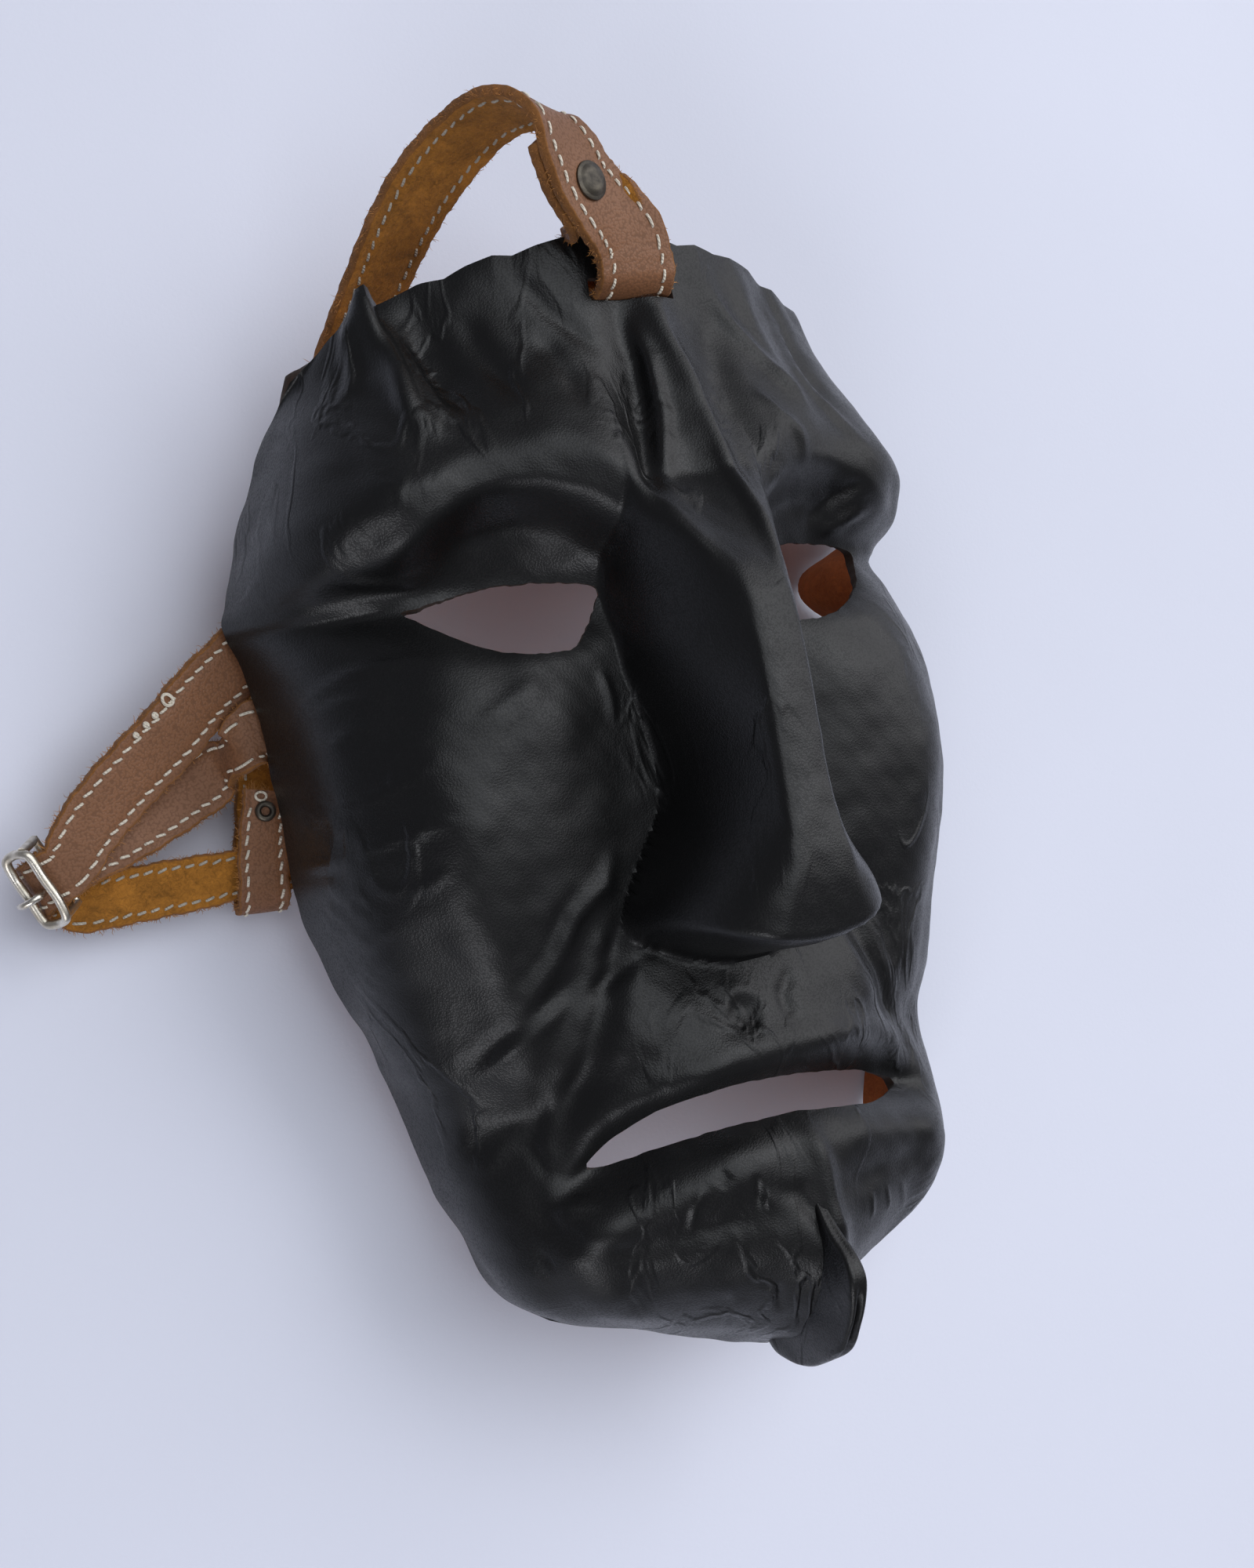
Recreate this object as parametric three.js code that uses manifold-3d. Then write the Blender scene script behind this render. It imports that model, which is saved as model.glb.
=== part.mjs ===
// Carnival face mask of moulded black leather with a stitched brown strap harness.
// The mask lies face up on its right rim and on the strap bundle under its left rim.
// Units are millimetres. +Z points up, out of the face, and +Y to the top of the head.
import * as THREE from 'three';
import Module from 'manifold-3d';

// Sizes
const LEATHER = 2.4; // mask sheet thickness
const STRAP_THICK = 2.4;
const STRAP_WIDTH = 18.5;
const GAP = 0.3; // air between pieces that touch
const TOP_Y = 119.5; // mask top edge at the middle
const BOTTOM_Y = -131; // mask bottom edge at the middle
const FIN_THICK = 4.6; // folded leather keel on the chin, two layers
const FIN_X = 2.0;
const RIVET_HEAD_R = 4.2;
const RIVET_HEAD_H = 1.4;
const RIVET_SHANK_R = 1.6;
const ROLL_R = 2.3; // rolled tube end of the tab rivet
const ROLL_BORE_R = 0.95;
const ROLL_BORE_DEPTH = 1.5;
const CROWN_RIVET_AT = [-6.9, 122.8, 78];
const TAB_RIVET_AT = [-84, 7, 14];
const BUCKLE_WIDTH = 17.2; // across the strap, wire centre to wire centre
const BUCKLE_WIRE_R = 1.15;
const BUCKLE_BAR_R = 1.0;
const PRONG_R = 0.9;
const PRONG_ANGLE = 144;
const PRONG_SIDE = 1.6; // place along the bar
const BUCKLE_TURN_R = 5.7; // strap centre round the hidden bar
const BUCKLE_RAIL_R = 8.4; // rail centres from the hidden bar
const BUCKLE_NEAR = 122; // angles of the two rails round the bar, from the temple side
const BUCKLE_FAR = 168;
const BUCKLE_NEAR_SHIFT = -1.2; // shift of each rail along itself
const BUCKLE_FAR_SHIFT = 1.6;
const BUCKLE_SHIFT = 8; // sideways travel of the strap in its turn
const BUCKLE_LAP_SHIFT = 0.35; // sideways place of the strap lap on the bar
const BUCKLE_STRAP = 12; // strap width at the buckle
const TUCK = 15; // how far the right temple's rim bends in under the eye
const COARSE_ROWS = [
  119.5, 115, 110.8, 106.2, 99, 91, 84, 78, 73, 69, 65, 61, 57, 53, 49.5, 46.5, 43, 39.5, 36, 32.5, 27, 19, 9,
  -1, -11, -19, -25, -30, -33.5, -36.5, -40, -46, -53, -60, -65, -69, -72.5, -76, -80.5, -87, -95, -103, -110,
  -117, -124, -131,
];
const COARSE_X = [0, 5.5, 8.5, 11.5, 15, 19, 23.5, 28.5, 34.5, 41, 48, 55];
const WALL_S = [0.76, 0.84, 0.9, 0.95, 1];

// Cross sections from the top edge to the bottom edge of the face:
// centre y | z at the middle, at .3 and at .68 of the shoulder | shoulder x, z | wall x, z | rim x, y, z
const SECTIONS = [
  [119.5, 51.0, 48.0, 37.0, 60, 26.5, 65.0, 22.0, 70.0, 98.5, 18.0],
  [108.0, 51.0, 48.5, 39.0, 62, 29.0, 70.0, 19.0, 73.5, 90.5, 9.5],
  [96.0, 53.5, 51.0, 42.0, 64, 34.0, 74.0, 22.0, 77.5, 81.0, 4.8],
  [84.0, 57.0, 55.0, 46.5, 66, 39.0, 77.5, 25.0, 81.0, 71.0, 2.3],
  [72.0, 60.0, 58.5, 50.0, 67, 43.0, 81.0, 25.0, 84.2, 62.0, 0.8],
  [60.0, 61.0, 58.5, 50.0, 66, 42.0, 82.5, 21.0, 87.0, 54.0, 0.0],
  [48.0, 58.0, 53.5, 46.5, 63, 37.0, 81.0, 18.0, 88.0, 48.0, 0.3],
  [36.0, 54.0, 51.5, 48.5, 64, 41.5, 79.5, 23.0, 85.0, 38.0, 1.8],
  [20.0, 53.0, 51.5, 52.5, 67, 45.5, 81.0, 28.0, 83.4, 22.0, 4.0],
  [0.0, 52.0, 52.0, 54.5, 68, 48.5, 81.5, 29.0, 83.2, 0.0, 5.0],
  [-18.0, 52.0, 51.0, 53.0, 66, 47.0, 79.5, 29.0, 82.0, -18.0, 5.5],
  [-36.0, 56.0, 54.0, 51.0, 61, 44.5, 75.0, 28.0, 76.6, -36.0, 6.5],
  [-54.0, 60.5, 59.0, 52.0, 57, 43.0, 70.0, 28.0, 70.2, -53.0, 7.0],
  [-68.0, 60.0, 58.5, 49.5, 53, 41.0, 65.5, 27.0, 66.8, -67.0, 8.0],
  [-80.0, 63.0, 61.5, 53.0, 53, 44.5, 64.0, 29.0, 64.2, -78.5, 9.0],
  [-92.0, 67.0, 64.0, 57.0, 53, 48.0, 62.5, 31.0, 61.0, -90.0, 10.0],
  [-104.0, 66.0, 62.0, 55.0, 51, 48.0, 60.0, 33.0, 58.0, -99.0, 13.0],
  [-116.0, 59.0, 56.0, 50.0, 45, 45.5, 55.0, 34.5, 56.0, -106.5, 18.0],
  [-125.0, 50.0, 48.5, 45.0, 38, 42.0, 49.0, 35.0, 53.0, -110.0, 24.0],
  [-131.0, 40.2, 40.2, 38.5, 34, 37.0, 43.5, 33.0, 48.5, -113.0, 29.5],
];
const SECTION_S = [0, 0.228, 0.517, 0.76, 0.9, 1];
// Nose: y | ridge z | half width of the flat ridge | half width at the foot | roundness of the flank
const NOSE = [
  [66, 63, 4, 17, 0.95], [58, 69, 4.2, 17, 0.95], [51, 75, 4.6, 17.5, 0.9], [45, 80.5, 5, 17.5, 0.75],
  [38, 84.5, 5.2, 17.5, 0.6], [28, 86.5, 5.6, 17.5, 0.45], [15, 87.6, 6, 14.5, 0.35], [3, 88.2, 6, 12.8, 0.35],
  [-6, 88.8, 6.2, 14.5, 0.45], [-15, 89.6, 6.8, 20, 0.7], [-24, 89.4, 8, 25.5, 0.9], [-31, 88, 9, 27, 1],
  [-45, 86, 9, 27, 1],
];
// Brow: distance from the middle | crest y | lower edge y | depth of the eye socket below it
const BROW = [
  [0, 50, 44, 0], [8, 55, 48, 0], [16, 67, 56, 4.6], [28, 76, 64, 8.4], [42, 76, 66, 8.1],
  [56, 71.5, 60.5, 5.4],
  [68, 68, 54, 1.8], [80, 56, 49.5, 0.4], [92, 44, 46, 0],
];
// Forehead folds: start x, start y, end x, end y, height, half width
const FOLDS = [
  [-4, 106, -14, 54, -2.4, 4.5],
  [3, 106, 8, 50, 3, 4.5],
  [18, 102, 15, 62, -2.2, 6],
  [-58, 109, -52, 80, 3.6, 3.5],
  [-46, 110, -42, 84, -2.2, 4],
  [34, 110, 40, 76, 1.8, 4],
  [46, 108, 52, 74, -1.8, 4],
];
// Outlines of the openings in x, y
const EYE_LEFT = [
  [-60.9, 46.0], [-58.3, 45.4], [-52.1, 46.8], [-42.5, 48.5], [-34.4, 48.4], [-26.6, 47.7], [-19.2, 46.2],
  [-18.4, 43.9], [-20.6, 40.0], [-25.4, 34.4], [-28.9, 32.6], [-33.0, 32.2], [-39.6, 32.7], [-45.5, 34.2],
  [-51.7, 37.4], [-57.9, 42.6],
];
const EYE_RIGHT = [
  [60.9, 46.6], [58.5, 48.4], [52.1, 49.8], [42.5, 51.0], [34.4, 51.0], [26.6, 49.8], [19.2, 47.4],
  [18.4, 43.9], [20.6, 40.0], [25.4, 34.4], [28.9, 32.6], [33.0, 32.2], [39.6, 32.7], [45.5, 34.2],
  [51.7, 37.4], [57.9, 42.0],
];
const MOUTH = [
  [-43.8, -78.2], [-39.5, -74.0], [-34.4, -70.4], [-24, -66.2], [-10, -65.2], [0, -66], [13.9, -68.4],
  [27.4, -72.0], [36, -75.4], [43.8, -79.4], [35, -79.8], [26.2, -78.8], [12.6, -76], [0, -74.4],
  [-16.7, -74.4], [-28, -76.2], [-36, -77.8],
];
const SLOT = [[-11.9, 110.8], [-11.9, 106.2], [11.9, 106.2], [11.9, 110.8]];
// Side outline of the chin keel in y, z
const FIN = [
  [-93, 66.5], [-100, 72], [-104.5, 76.4], [-108, 77.8], [-112, 77.4], [-121, 73.4], [-126, 69.6],
  [-130.5, 62], [-133.4, 55], [-134, 49], [-133.2, 41.5], [-130.6, 39.6], [-128.5, 43], [-124, 49.5],
  [-116, 57.5], [-104, 64.3],
];

// Lying frame: plane through the right temple, the right jaw and the raised left rim.
const REST = [[88, 49, -0.2], [60.2, -92, 10.2], [-85, 5, -16]].map((p) => new THREE.Vector3(...p));

// Strap stations in the lying frame: x, y, z of the middle | direction across the strap
const SLOT_PASS = [
  [1.5, 117.6, 66.2, 0.99, -0.1, -0.12],
  [3.3, 115.4, 62.3, 0.99, 0.02, -0.12],
  [4.5, 112.0, 60.1, 0.99, 0.02, -0.12],
  [5.0, 108.0, 59.4, 0.99, 0.02, -0.12],
  [4.8, 104.7, 60.4, 0.99, 0.02, -0.12],
  [4.7, 102.9, 63.2, 0.99, 0.02, -0.12],
  [4.7, 102.9, 67.2, 0.99, 0.02, -0.12],
  [4.6, 104.5, 70.3, 0.99, 0.02, -0.12],
  [4.2, 107.4, 71.6, 0.99, 0.02, -0.12],
];
const HEAD_FRONT = [
  [3.4, 111.2, 72.7, 0.99, 0.04, -0.12],
  [0.7, 115.0, 74.2, 0.98, 0.09, -0.19],
  [-3.5, 118.8, 76.2, 0.94, 0.17, -0.30],
  [-6.9, 122.8, 78.0, 0.90, 0.22, -0.36],
  [-10.5, 130.0, 80.2, 0.87, 0.18, -0.46],
  [-13.4, 135.6, 80.6, 0.74, 0.16, -0.65],
  [-16.5, 139.0, 77.6, 0.62, 0.04, -0.78],
  [-19.7, 140.6, 73.0, 0.56, -0.08, -0.82],
  [-23.0, 140.9, 66.5, 0.66, -0.13, -0.74],
  [-27.1, 139.0, 59.0, 0.75, -0.20, -0.63],
  [-31.8, 135.0, 51.5, 0.78, -0.23, -0.58],
  [-35.9, 129.8, 44.5, 0.79, -0.19, -0.58],
  [-41.6, 119.8, 32.5, 0.84, -0.05, -0.54],
  [-47.5, 107.9, 21.5, 0.90, 0.10, -0.41],
  [-54.0, 93.0, 12.0, 0.95, 0.18, -0.24],
  [-62.0, 74.0, 5.6, 0.95, 0.27, -0.1],
  [-68.0, 54.0, 2.2, 0.94, 0.34, 0, 17.5],
  [-75.0, 34.0, 1.6, 0.97, 0.2, 0, 14.5],
  [-80.0, 18.0, 1.6, 0.99, -0.1, 0, 12.4],
  [-83.4, 4.0, 1.6, 0.98, -0.17, 0, 11.4],
  [-85.6, -6.0, 1.6, 0.99, -0.1, 0, 11.4],
  [-86.4, -10.9, 2.2, 1, -0.06, 0, 11.4],
  [-86.9, -13.8, 4.8, 1, -0.06, 0, 11.4],
  [-86.9, -13.8, 8.6, 1, -0.06, 0, 11.4],
  [-86.7, -10.4, 12.1, 0.99, -0.1, 0, 11.4],
  [-86.1, -5.0, 12.7, 0.98, -0.15, 0, 11.2],
  [-85.3, 1.0, 13.6, 0.98, -0.17, 0, 10.9],
  [-84.0, 7.0, 14.2, 0.98, -0.17, 0, 10.2],
  [-83.0, 11.4, 14.4, 0.98, -0.17, 0, 9.8],
];
const REAR_STRAP = [
  [55.0, 10.9, 1.6, 0.08, -0.99, 0],
  [30.0, 8.4, 1.6, 0.1, -0.99, 0],
  [-10.0, 3.6, 1.6, 0.12, -0.99, 0],
  [-42.0, -1.0, 1.8, 0.1, -0.99, 0, 17],
  [-60.0, -3.4, 4.6, 0.04, -0.99, -0.04, 14.5],
  [-72.0, -5.2, 7.4, 0.02, -0.99, -0.08, 12.4],
  [-81.5, -5.8, 8.4, 0, -0.99, -0.1, 11],
  [-91.7, -5.9, 8.5, -0.05, -0.99, -0.1, 11.2],
  [-100.3, -6.1, 8.4, -0.05, -0.99, -0.09, 12.2],
  [-109.9, -6.2, 8.1, -0.05, -0.99, -0.08, 12.5],
  [-117.8, -6.4, 7.7, -0.05, -0.99, -0.07, 12.5],
  [-124.5, -6.4, 7.2, -0.02, -0.99, -0.06, 12.5],
];
const WIDE_RUN = [
  [-122.9, 8.3, 19.1, 0.45, -0.87, -0.22, 13.8],
  [-117.4, 13.8, 19.1, 0.52, -0.81, -0.28, 14.6],
  [-109.8, 20.2, 18.7, 0.61, -0.72, -0.34, 15.0],
  [-102.2, 26.2, 17.9, 0.59, -0.72, -0.36, 15.4],
  [-93.2, 34.4, 16.7, 0.61, -0.72, -0.34, 15.2],
  [-84.0, 41.0, 16.0, 0.62, -0.74, -0.26, 15.4],
  [-76.2, 47.8, 14.7, 0.62, -0.75, -0.2, 15.8],
  [-69.0, 55.5, 13.8, 0.62, -0.77, -0.15, 16],
];
const SECOND_RUN = [
  [-79.6, 24.2, 18.5, 0, 1, 0, 15.4],
  [-83.0, 23.9, 17.8, 0, 1, 0, 15.4],
  [-86.0, 22.4, 17.7, 0, 1, 0, 14],
  [-88.0, 20.5, 17.0, 0, 1, 0, 10.4],
  [-89.2, 20.0, 15.3, 0, 1, 0, 9.4],
  [-90.0, 19.3, 13.2, 0, 1, 0, 9.4],
  [-91.4, 18.7, 11.3, -0.06, 0.99, -0.04, 12.6],
  [-94.2, 17.0, 10.5, -0.15, 0.97, -0.08, 15.2],
  [-98.5, 14.8, 10.5, -0.25, 0.95, -0.08, 15],
  [-106.0, 10.8, 11.2, -0.35, 0.93, -0.1, 14],
  [-114.6, 6.8, 12.2, -0.38, 0.92, -0.08, 13],
  [-120.0, 4.7, 13.6, -0.4, 0.91, 0, 12.6],
];

// Small helpers
const clamp = (v, lo, hi) => Math.min(hi, Math.max(lo, v));
const gauss = (v, centre, width) => Math.exp(-(((v - centre) / width) ** 2));
function smooth(from, to, v) {
  const u = clamp((v - from) / (to - from), 0, 1);
  return u * u * (3 - 2 * u);
}

// Smooth curve through uneven stations; slopes are weighted means of the neighbour slopes.
function slopes(knots, values) {
  const last = knots.length - 1;
  const step = knots.slice(1).map((k, i) => k - knots[i]);
  const rise = step.map((h, i) => (values[i + 1] - values[i]) / h);
  return values.map((_, i) => {
    if (i === 0) return rise[0];
    if (i === last) return rise[last - 1];
    return (rise[i - 1] * step[i] + rise[i] * step[i - 1]) / (step[i - 1] + step[i]);
  });
}

function hermite(knots, values, slope, v) {
  let i = 0;
  while (i < knots.length - 2 && v > knots[i + 1]) i += 1;
  const h = knots[i + 1] - knots[i];
  const u = (v - knots[i]) / h;
  return (2 * u ** 3 - 3 * u ** 2 + 1) * values[i] + (u ** 3 - 2 * u ** 2 + u) * h * slope[i]
    + (3 * u ** 2 - 2 * u ** 3) * values[i + 1] + (u ** 3 - u ** 2) * h * slope[i + 1];
}

// Table of rows [key, a, b, ...] turned into a function key -> [a, b, ...].
function tableCurve(rows) {
  const sorted = rows.slice().sort((a, b) => a[0] - b[0]);
  const knots = sorted.map((row) => row[0]);
  const columns = sorted[0].slice(1).map((_, c) => sorted.map((row) => row[c + 1]));
  const slope = columns.map((values) => slopes(knots, values));
  return (key) => {
    const v = clamp(key, knots[0], knots[knots.length - 1]);
    return columns.map((values, c) => hermite(knots, values, slope[c], v));
  };
}
const sectionAt = tableCurve(SECTIONS);
const noseAt = tableCurve(NOSE);
const browAt = tableCurve(BROW);

// The face surface
// s runs from the left rim (-1) to the right rim (1); row is the y of the section at the middle.
function baseForm(s, row) {
  const [mid, inner, outer, shoulderX, shoulderZ, wallX, wallZ, rimX, rimY, rimZ] = sectionAt(row);
  const xs = [0, 0.3 * shoulderX, 0.68 * shoulderX, shoulderX, wallX, rimX];
  const zs = [mid, inner, outer, shoulderZ, wallZ, rimZ];
  const xSlope = slopes(SECTION_S, xs);
  const zSlope = slopes(SECTION_S, zs);
  zSlope[0] = 0;
  const last = xs.length - 1;
  xSlope[last] = 1.5 * xSlope[last] - 0.5 * xSlope[last - 1];
  zSlope[last] = 1.5 * zSlope[last] - 0.5 * zSlope[last - 1];
  const a = Math.abs(s);
  const bend = a ** (1.1 + smooth(BOTTOM_Y, TOP_Y, row));
  const tuck = s > 0 ? TUCK * gauss(row, 41, 10.5) * smooth(0.8, 1, a) : 0;
  return [
    Math.sign(s) * hermite(SECTION_S, xs, xSlope, a) - tuck,
    row * (1 - bend) + rimY * bend,
    hermite(SECTION_S, zs, zSlope, a),
  ];
}

// Distance across a line and position along it.
function across(x, y, x0, y0, x1, y1) {
  const dx = x1 - x0;
  const dy = y1 - y0;
  const long = dx * dx + dy * dy;
  return [((x - x0) * dy - (y - y0) * dx) / Math.sqrt(long), ((x - x0) * dx + (y - y0) * dy) / long];
}

function noseLift(x, y, z) {
  const [ridge, flat, foot, round] = noseAt(clamp(y, -45, 66));
  const ax = Math.abs(x);
  const u = clamp((ax - flat) / (foot - flat), 0, 1);
  const flank = (1 - round) * (1 - u) + round * Math.sqrt(1 - u * u);
  const crown = 1 - 0.035 * clamp(ax / flat, 0, 1) ** 3 * (1 - round);
  const under = -36.5 + 8 * (x / 25) ** 2;
  return Math.max(ridge - z, 0) * flank * crown * smooth(under - 3.2, under + 2.4, y) * smooth(80, 60, y);
}

function browForm(x, y) {
  const ax = Math.abs(x);
  const [crest, edge, socket] = browAt(ax);
  const side = smooth(4, 14, ax) * smooth(90, 70, ax);
  const plateau = smooth(crest - 12, crest + 1, y) * smooth(crest + 30, crest + 4, y);
  let z = (1.8 * gauss(y, crest - 3, 9) + 2.6 * plateau + 0.8 * gauss(y, edge + 1.5, 4)) * side;
  z -= socket * smooth(edge + 3, edge - 8, y) * smooth(30, 46, y);
  const off = y - 46.6; // crease from the eye corner to the temple
  const up = smooth(-1.2, 1.2, off);
  z += (up * 1.6 * Math.exp(-Math.max(off, 0) / 9) - (1 - up) * Math.exp(-Math.max(-off, 0) / 5))
    * smooth(56, 70, ax) * smooth(92, 84, ax);
  return z;
}

function cheekAndMouthForm(x, y) {
  const ax = Math.abs(x);
  let z = 2.5 * gauss(y, 22, 14) * gauss(ax, 42, 18);
  const [d, t] = across(ax, y, 25, -22, 49, -76);
  z += (-2.6 * gauss(d, 0, 3.2) - 1.8 * gauss(d, -7, 5)) * smooth(-0.05, 0.2, t) * smooth(1.15, 0.85, t);
  const lips = -70.8 - 8.2 * (ax / 44) ** 2;
  const wide = smooth(56, 42, ax);
  const upper = 3.2 * gauss(y, lips + 11, 4.8);
  z += (upper - 5 * gauss(y, lips - 0.5, 4.2) + 2.2 * gauss(y, lips - 10, 6)) * wide;
  return z - 1.5 * gauss(y, -93, 4) * gauss(ax, 22, 14);
}

function foreheadFolds(x, y) {
  return FOLDS.reduce((z, [x0, y0, x1, y1, height, width]) => {
    const [d, t] = across(x, y, x0, y0, x1, y1);
    return z + height * gauss(d, 0, width) * smooth(-0.3, 0.2, t) * smooth(1.15, 0.6, t);
  }, 0);
}

function facePoint(s, row) {
  const [x, y, z] = baseForm(s, row);
  const relief = noseLift(x, y, z) + browForm(x, y) + cheekAndMouthForm(x, y) + foreheadFolds(x, y);
  return new THREE.Vector3(x, y, z + relief);
}

function faceNormal(s, row) {
  const ds = 0.004;
  const dr = 0.4;
  // The side and lower edges run into each other at the jaw's corner.
  const limit = 1 - 0.05 * smooth(-122, BOTTOM_Y, row);
  s = clamp(s, -limit, limit);
  const alongS = facePoint(Math.min(s + ds, 1), row).sub(facePoint(Math.max(s - ds, -1), row));
  const alongY = facePoint(s, Math.min(row + dr, TOP_Y)).sub(facePoint(s, Math.max(row - dr, BOTTOM_Y)));
  return alongS.cross(alongY).normalize();
}

// Openings
// Signed distance to a closed outline, negative inside it.
function outlineDistance(x, y, outline) {
  let best = Infinity;
  let inside = false;
  outline.forEach(([x0, y0], i) => {
    const [x1, y1] = outline[(i + 1) % outline.length];
    const t = clamp(((x - x0) * (x1 - x0) + (y - y0) * (y1 - y0)) / ((x1 - x0) ** 2 + (y1 - y0) ** 2), 0, 1);
    best = Math.min(best, Math.hypot(x - x0 - t * (x1 - x0), y - y0 - t * (y1 - y0)));
    if ((y0 > y) !== (y1 > y) && x < ((x1 - x0) * (y - y0)) / (y1 - y0) + x0) inside = !inside;
  });
  return inside ? -best : best;
}

function openingDistance(s, row) {
  const [x, y] = baseForm(s, row);
  return Math.min(...[EYE_LEFT, EYE_RIGHT, MOUTH, SLOT].map((outline) => outlineDistance(x, y, outline)));
}

// Where the line between two grid nodes crosses the edge of an opening.
function crossing(a, b) {
  let lo = 0;
  let hi = 1;
  for (let k = 0; k < 18; k += 1) {
    const t = (lo + hi) / 2;
    const value = openingDistance(a.s + (b.s - a.s) * t, a.row + (b.row - a.row) * t);
    if ((value > 0) === (a.value > 0)) lo = t;
    else hi = t;
  }
  return (lo + hi) / 2;
}

const SNAP = 0.3; // grid nodes nearer than this share of an edge move onto the opening's edge

// Grid of nodes over the face, with the openings cut along their true outlines.
function trimmedFace(columns, rows) {
  const nodes = [];
  rows.forEach((row) => columns.forEach((s) => nodes.push({ s, row, value: openingDistance(s, row) })));
  const wide = columns.length;
  const sides = [1, -1, wide, -wide, wide + 1, -wide - 1];
  const moves = [];
  nodes.forEach((node, i) => {
    const column = i % wide;
    let best = null;
    sides.forEach((step) => {
      const j = i + step;
      if (j < 0 || j >= nodes.length || Math.abs((j % wide) - column) > 1) return;
      if ((nodes[j].value > 0) === (node.value > 0)) return;
      const t = crossing(node, nodes[j]);
      if (t < SNAP && (!best || t < best.t)) best = { t, other: nodes[j] };
    });
    if (best) moves.push([node, best]);
  });
  const shifted = moves.map(([node, { t, other }]) => [node, node.s + (other.s - node.s) * t,
    node.row + (other.row - node.row) * t]);
  shifted.forEach(([node, s, row]) => Object.assign(node, { s, row, value: 0 }));
  const triangles = [];
  const cutNodes = new Map();
  const cutNode = (i, j) => {
    const key = i < j ? `${i}_${j}` : `${j}_${i}`;
    if (!cutNodes.has(key)) {
      const [a, b] = [nodes[Math.min(i, j)], nodes[Math.max(i, j)]];
      const t = crossing(a, b);
      nodes.push({ s: a.s + (b.s - a.s) * t, row: a.row + (b.row - a.row) * t, value: 0 });
      cutNodes.set(key, nodes.length - 1);
    }
    return cutNodes.get(key);
  };
  const keep = (corner) => {
    if (!corner.some((i) => nodes[i].value > 0)) return;
    const polygon = [];
    corner.forEach((i, k) => {
      const j = corner[(k + 1) % 3];
      if (nodes[i].value >= 0) polygon.push(i);
      if (nodes[i].value * nodes[j].value < 0) polygon.push(cutNode(i, j));
    });
    for (let k = 1; k < polygon.length - 1; k += 1) triangles.push([polygon[0], polygon[k], polygon[k + 1]]);
  };
  for (let r = 0; r < rows.length - 1; r += 1) {
    for (let c = 0; c < wide - 1; c += 1) {
      const i = r * wide + c;
      keep([i, i + wide, i + wide + 1]);
      keep([i, i + wide + 1, i + 1]);
    }
  }
  return { nodes, triangles };
}

// Closed sheet: the face, its inner side one thickness behind, and the cut edges between them.
function maskSheet() {
  const half = [...COARSE_X.map((x) => (x / 62) * SECTION_S[3]), ...WALL_S];
  const columns = [...half.slice(1).map((s) => -s).reverse(), ...half];
  const { nodes, triangles } = trimmedFace(columns, COARSE_ROWS);
  const used = [...new Set(triangles.flat())];
  const place = new Map(used.map((node, i) => [node, i]));
  const positions = [];
  used.forEach((i) => positions.push(...facePoint(nodes[i].s, nodes[i].row).toArray()));
  used.forEach((i) => {
    const { s, row } = nodes[i];
    positions.push(...facePoint(s, row).addScaledVector(faceNormal(s, row), -LEATHER).toArray());
  });
  const count = used.length;
  const index = [];
  const edges = new Map();
  triangles.forEach((corner) => {
    const [a, b, c] = corner.map((i) => place.get(i));
    index.push(a, b, c, a + count, c + count, b + count);
    [[a, b], [b, c], [c, a]].forEach(([i, j]) => {
      if (edges.has(`${j}_${i}`)) edges.delete(`${j}_${i}`);
      else edges.set(`${i}_${j}`, [i, j]);
    });
  });
  edges.forEach(([i, j]) => index.push(j, i, i + count, j, i + count, j + count));
  return indexedGeometry(positions, index);
}

function indexedGeometry(positions, index) {
  const geometry = new THREE.BufferGeometry();
  geometry.setAttribute('position', new THREE.Float32BufferAttribute(positions, 3));
  geometry.setIndex(index);
  return geometry;
}

// Straps
function orthoAcross(tangent, side) {
  return side.clone().addScaledVector(tangent, -side.dot(tangent)).normalize();
}

// Flat strap of even width and thickness along stations [x, y, z, across x, y, z].
function strapFrames(stations, count) {
  const middle = new THREE.CatmullRomCurve3(stations.map((p) => new THREE.Vector3(p[0], p[1], p[2])),
    false, 'centripetal');
  const step = stations.length - 1;
  const widths = stations.map((p) => p[6] ?? STRAP_WIDTH);
  const frames = [];
  for (let k = 0; k <= count; k += 1) {
    const t = k / count;
    const i = Math.min(Math.floor(t * step), step - 1);
    const u = t * step - i;
    const side = new THREE.Vector3(...stations[i].slice(3, 6))
      .lerp(new THREE.Vector3(...stations[i + 1].slice(3, 6)), u);
    const width = widths[i] + (widths[i + 1] - widths[i]) * u;
    const tangent = middle.getTangent(t).normalize();
    const w = orthoAcross(tangent, side);
    const n = new THREE.Vector3().crossVectors(w, tangent);
    frames.push({ centre: middle.getPoint(t), tangent, w, n, width });
  }
  return frames;
}

function ribbon(frames, thick = STRAP_THICK) {
  const positions = [];
  frames.forEach(({ centre, w, n, width }) => {
    [[-1, 1], [1, 1], [1, -1], [-1, -1]].forEach(([a, b]) => {
      const p = centre.clone().addScaledVector(w, (a * width) / 2).addScaledVector(n, (b * thick) / 2);
      positions.push(...p.toArray());
    });
  });
  const index = [];
  for (let k = 0; k < frames.length - 1; k += 1) {
    for (let c = 0; c < 4; c += 1) {
      const a = 4 * k + c;
      const b = 4 * k + ((c + 1) % 4);
      index.push(a, b, b + 4, a, b + 4, a + 4);
    }
  }
  const e = 4 * (frames.length - 1);
  index.push(0, 3, 2, 0, 2, 1, e, e + 1, e + 2, e, e + 2, e + 3);
  return indexedGeometry(positions, index);
}

// Solids
const wasm = await Module();
wasm.setup();
const { Manifold, Mesh } = wasm;

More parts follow.
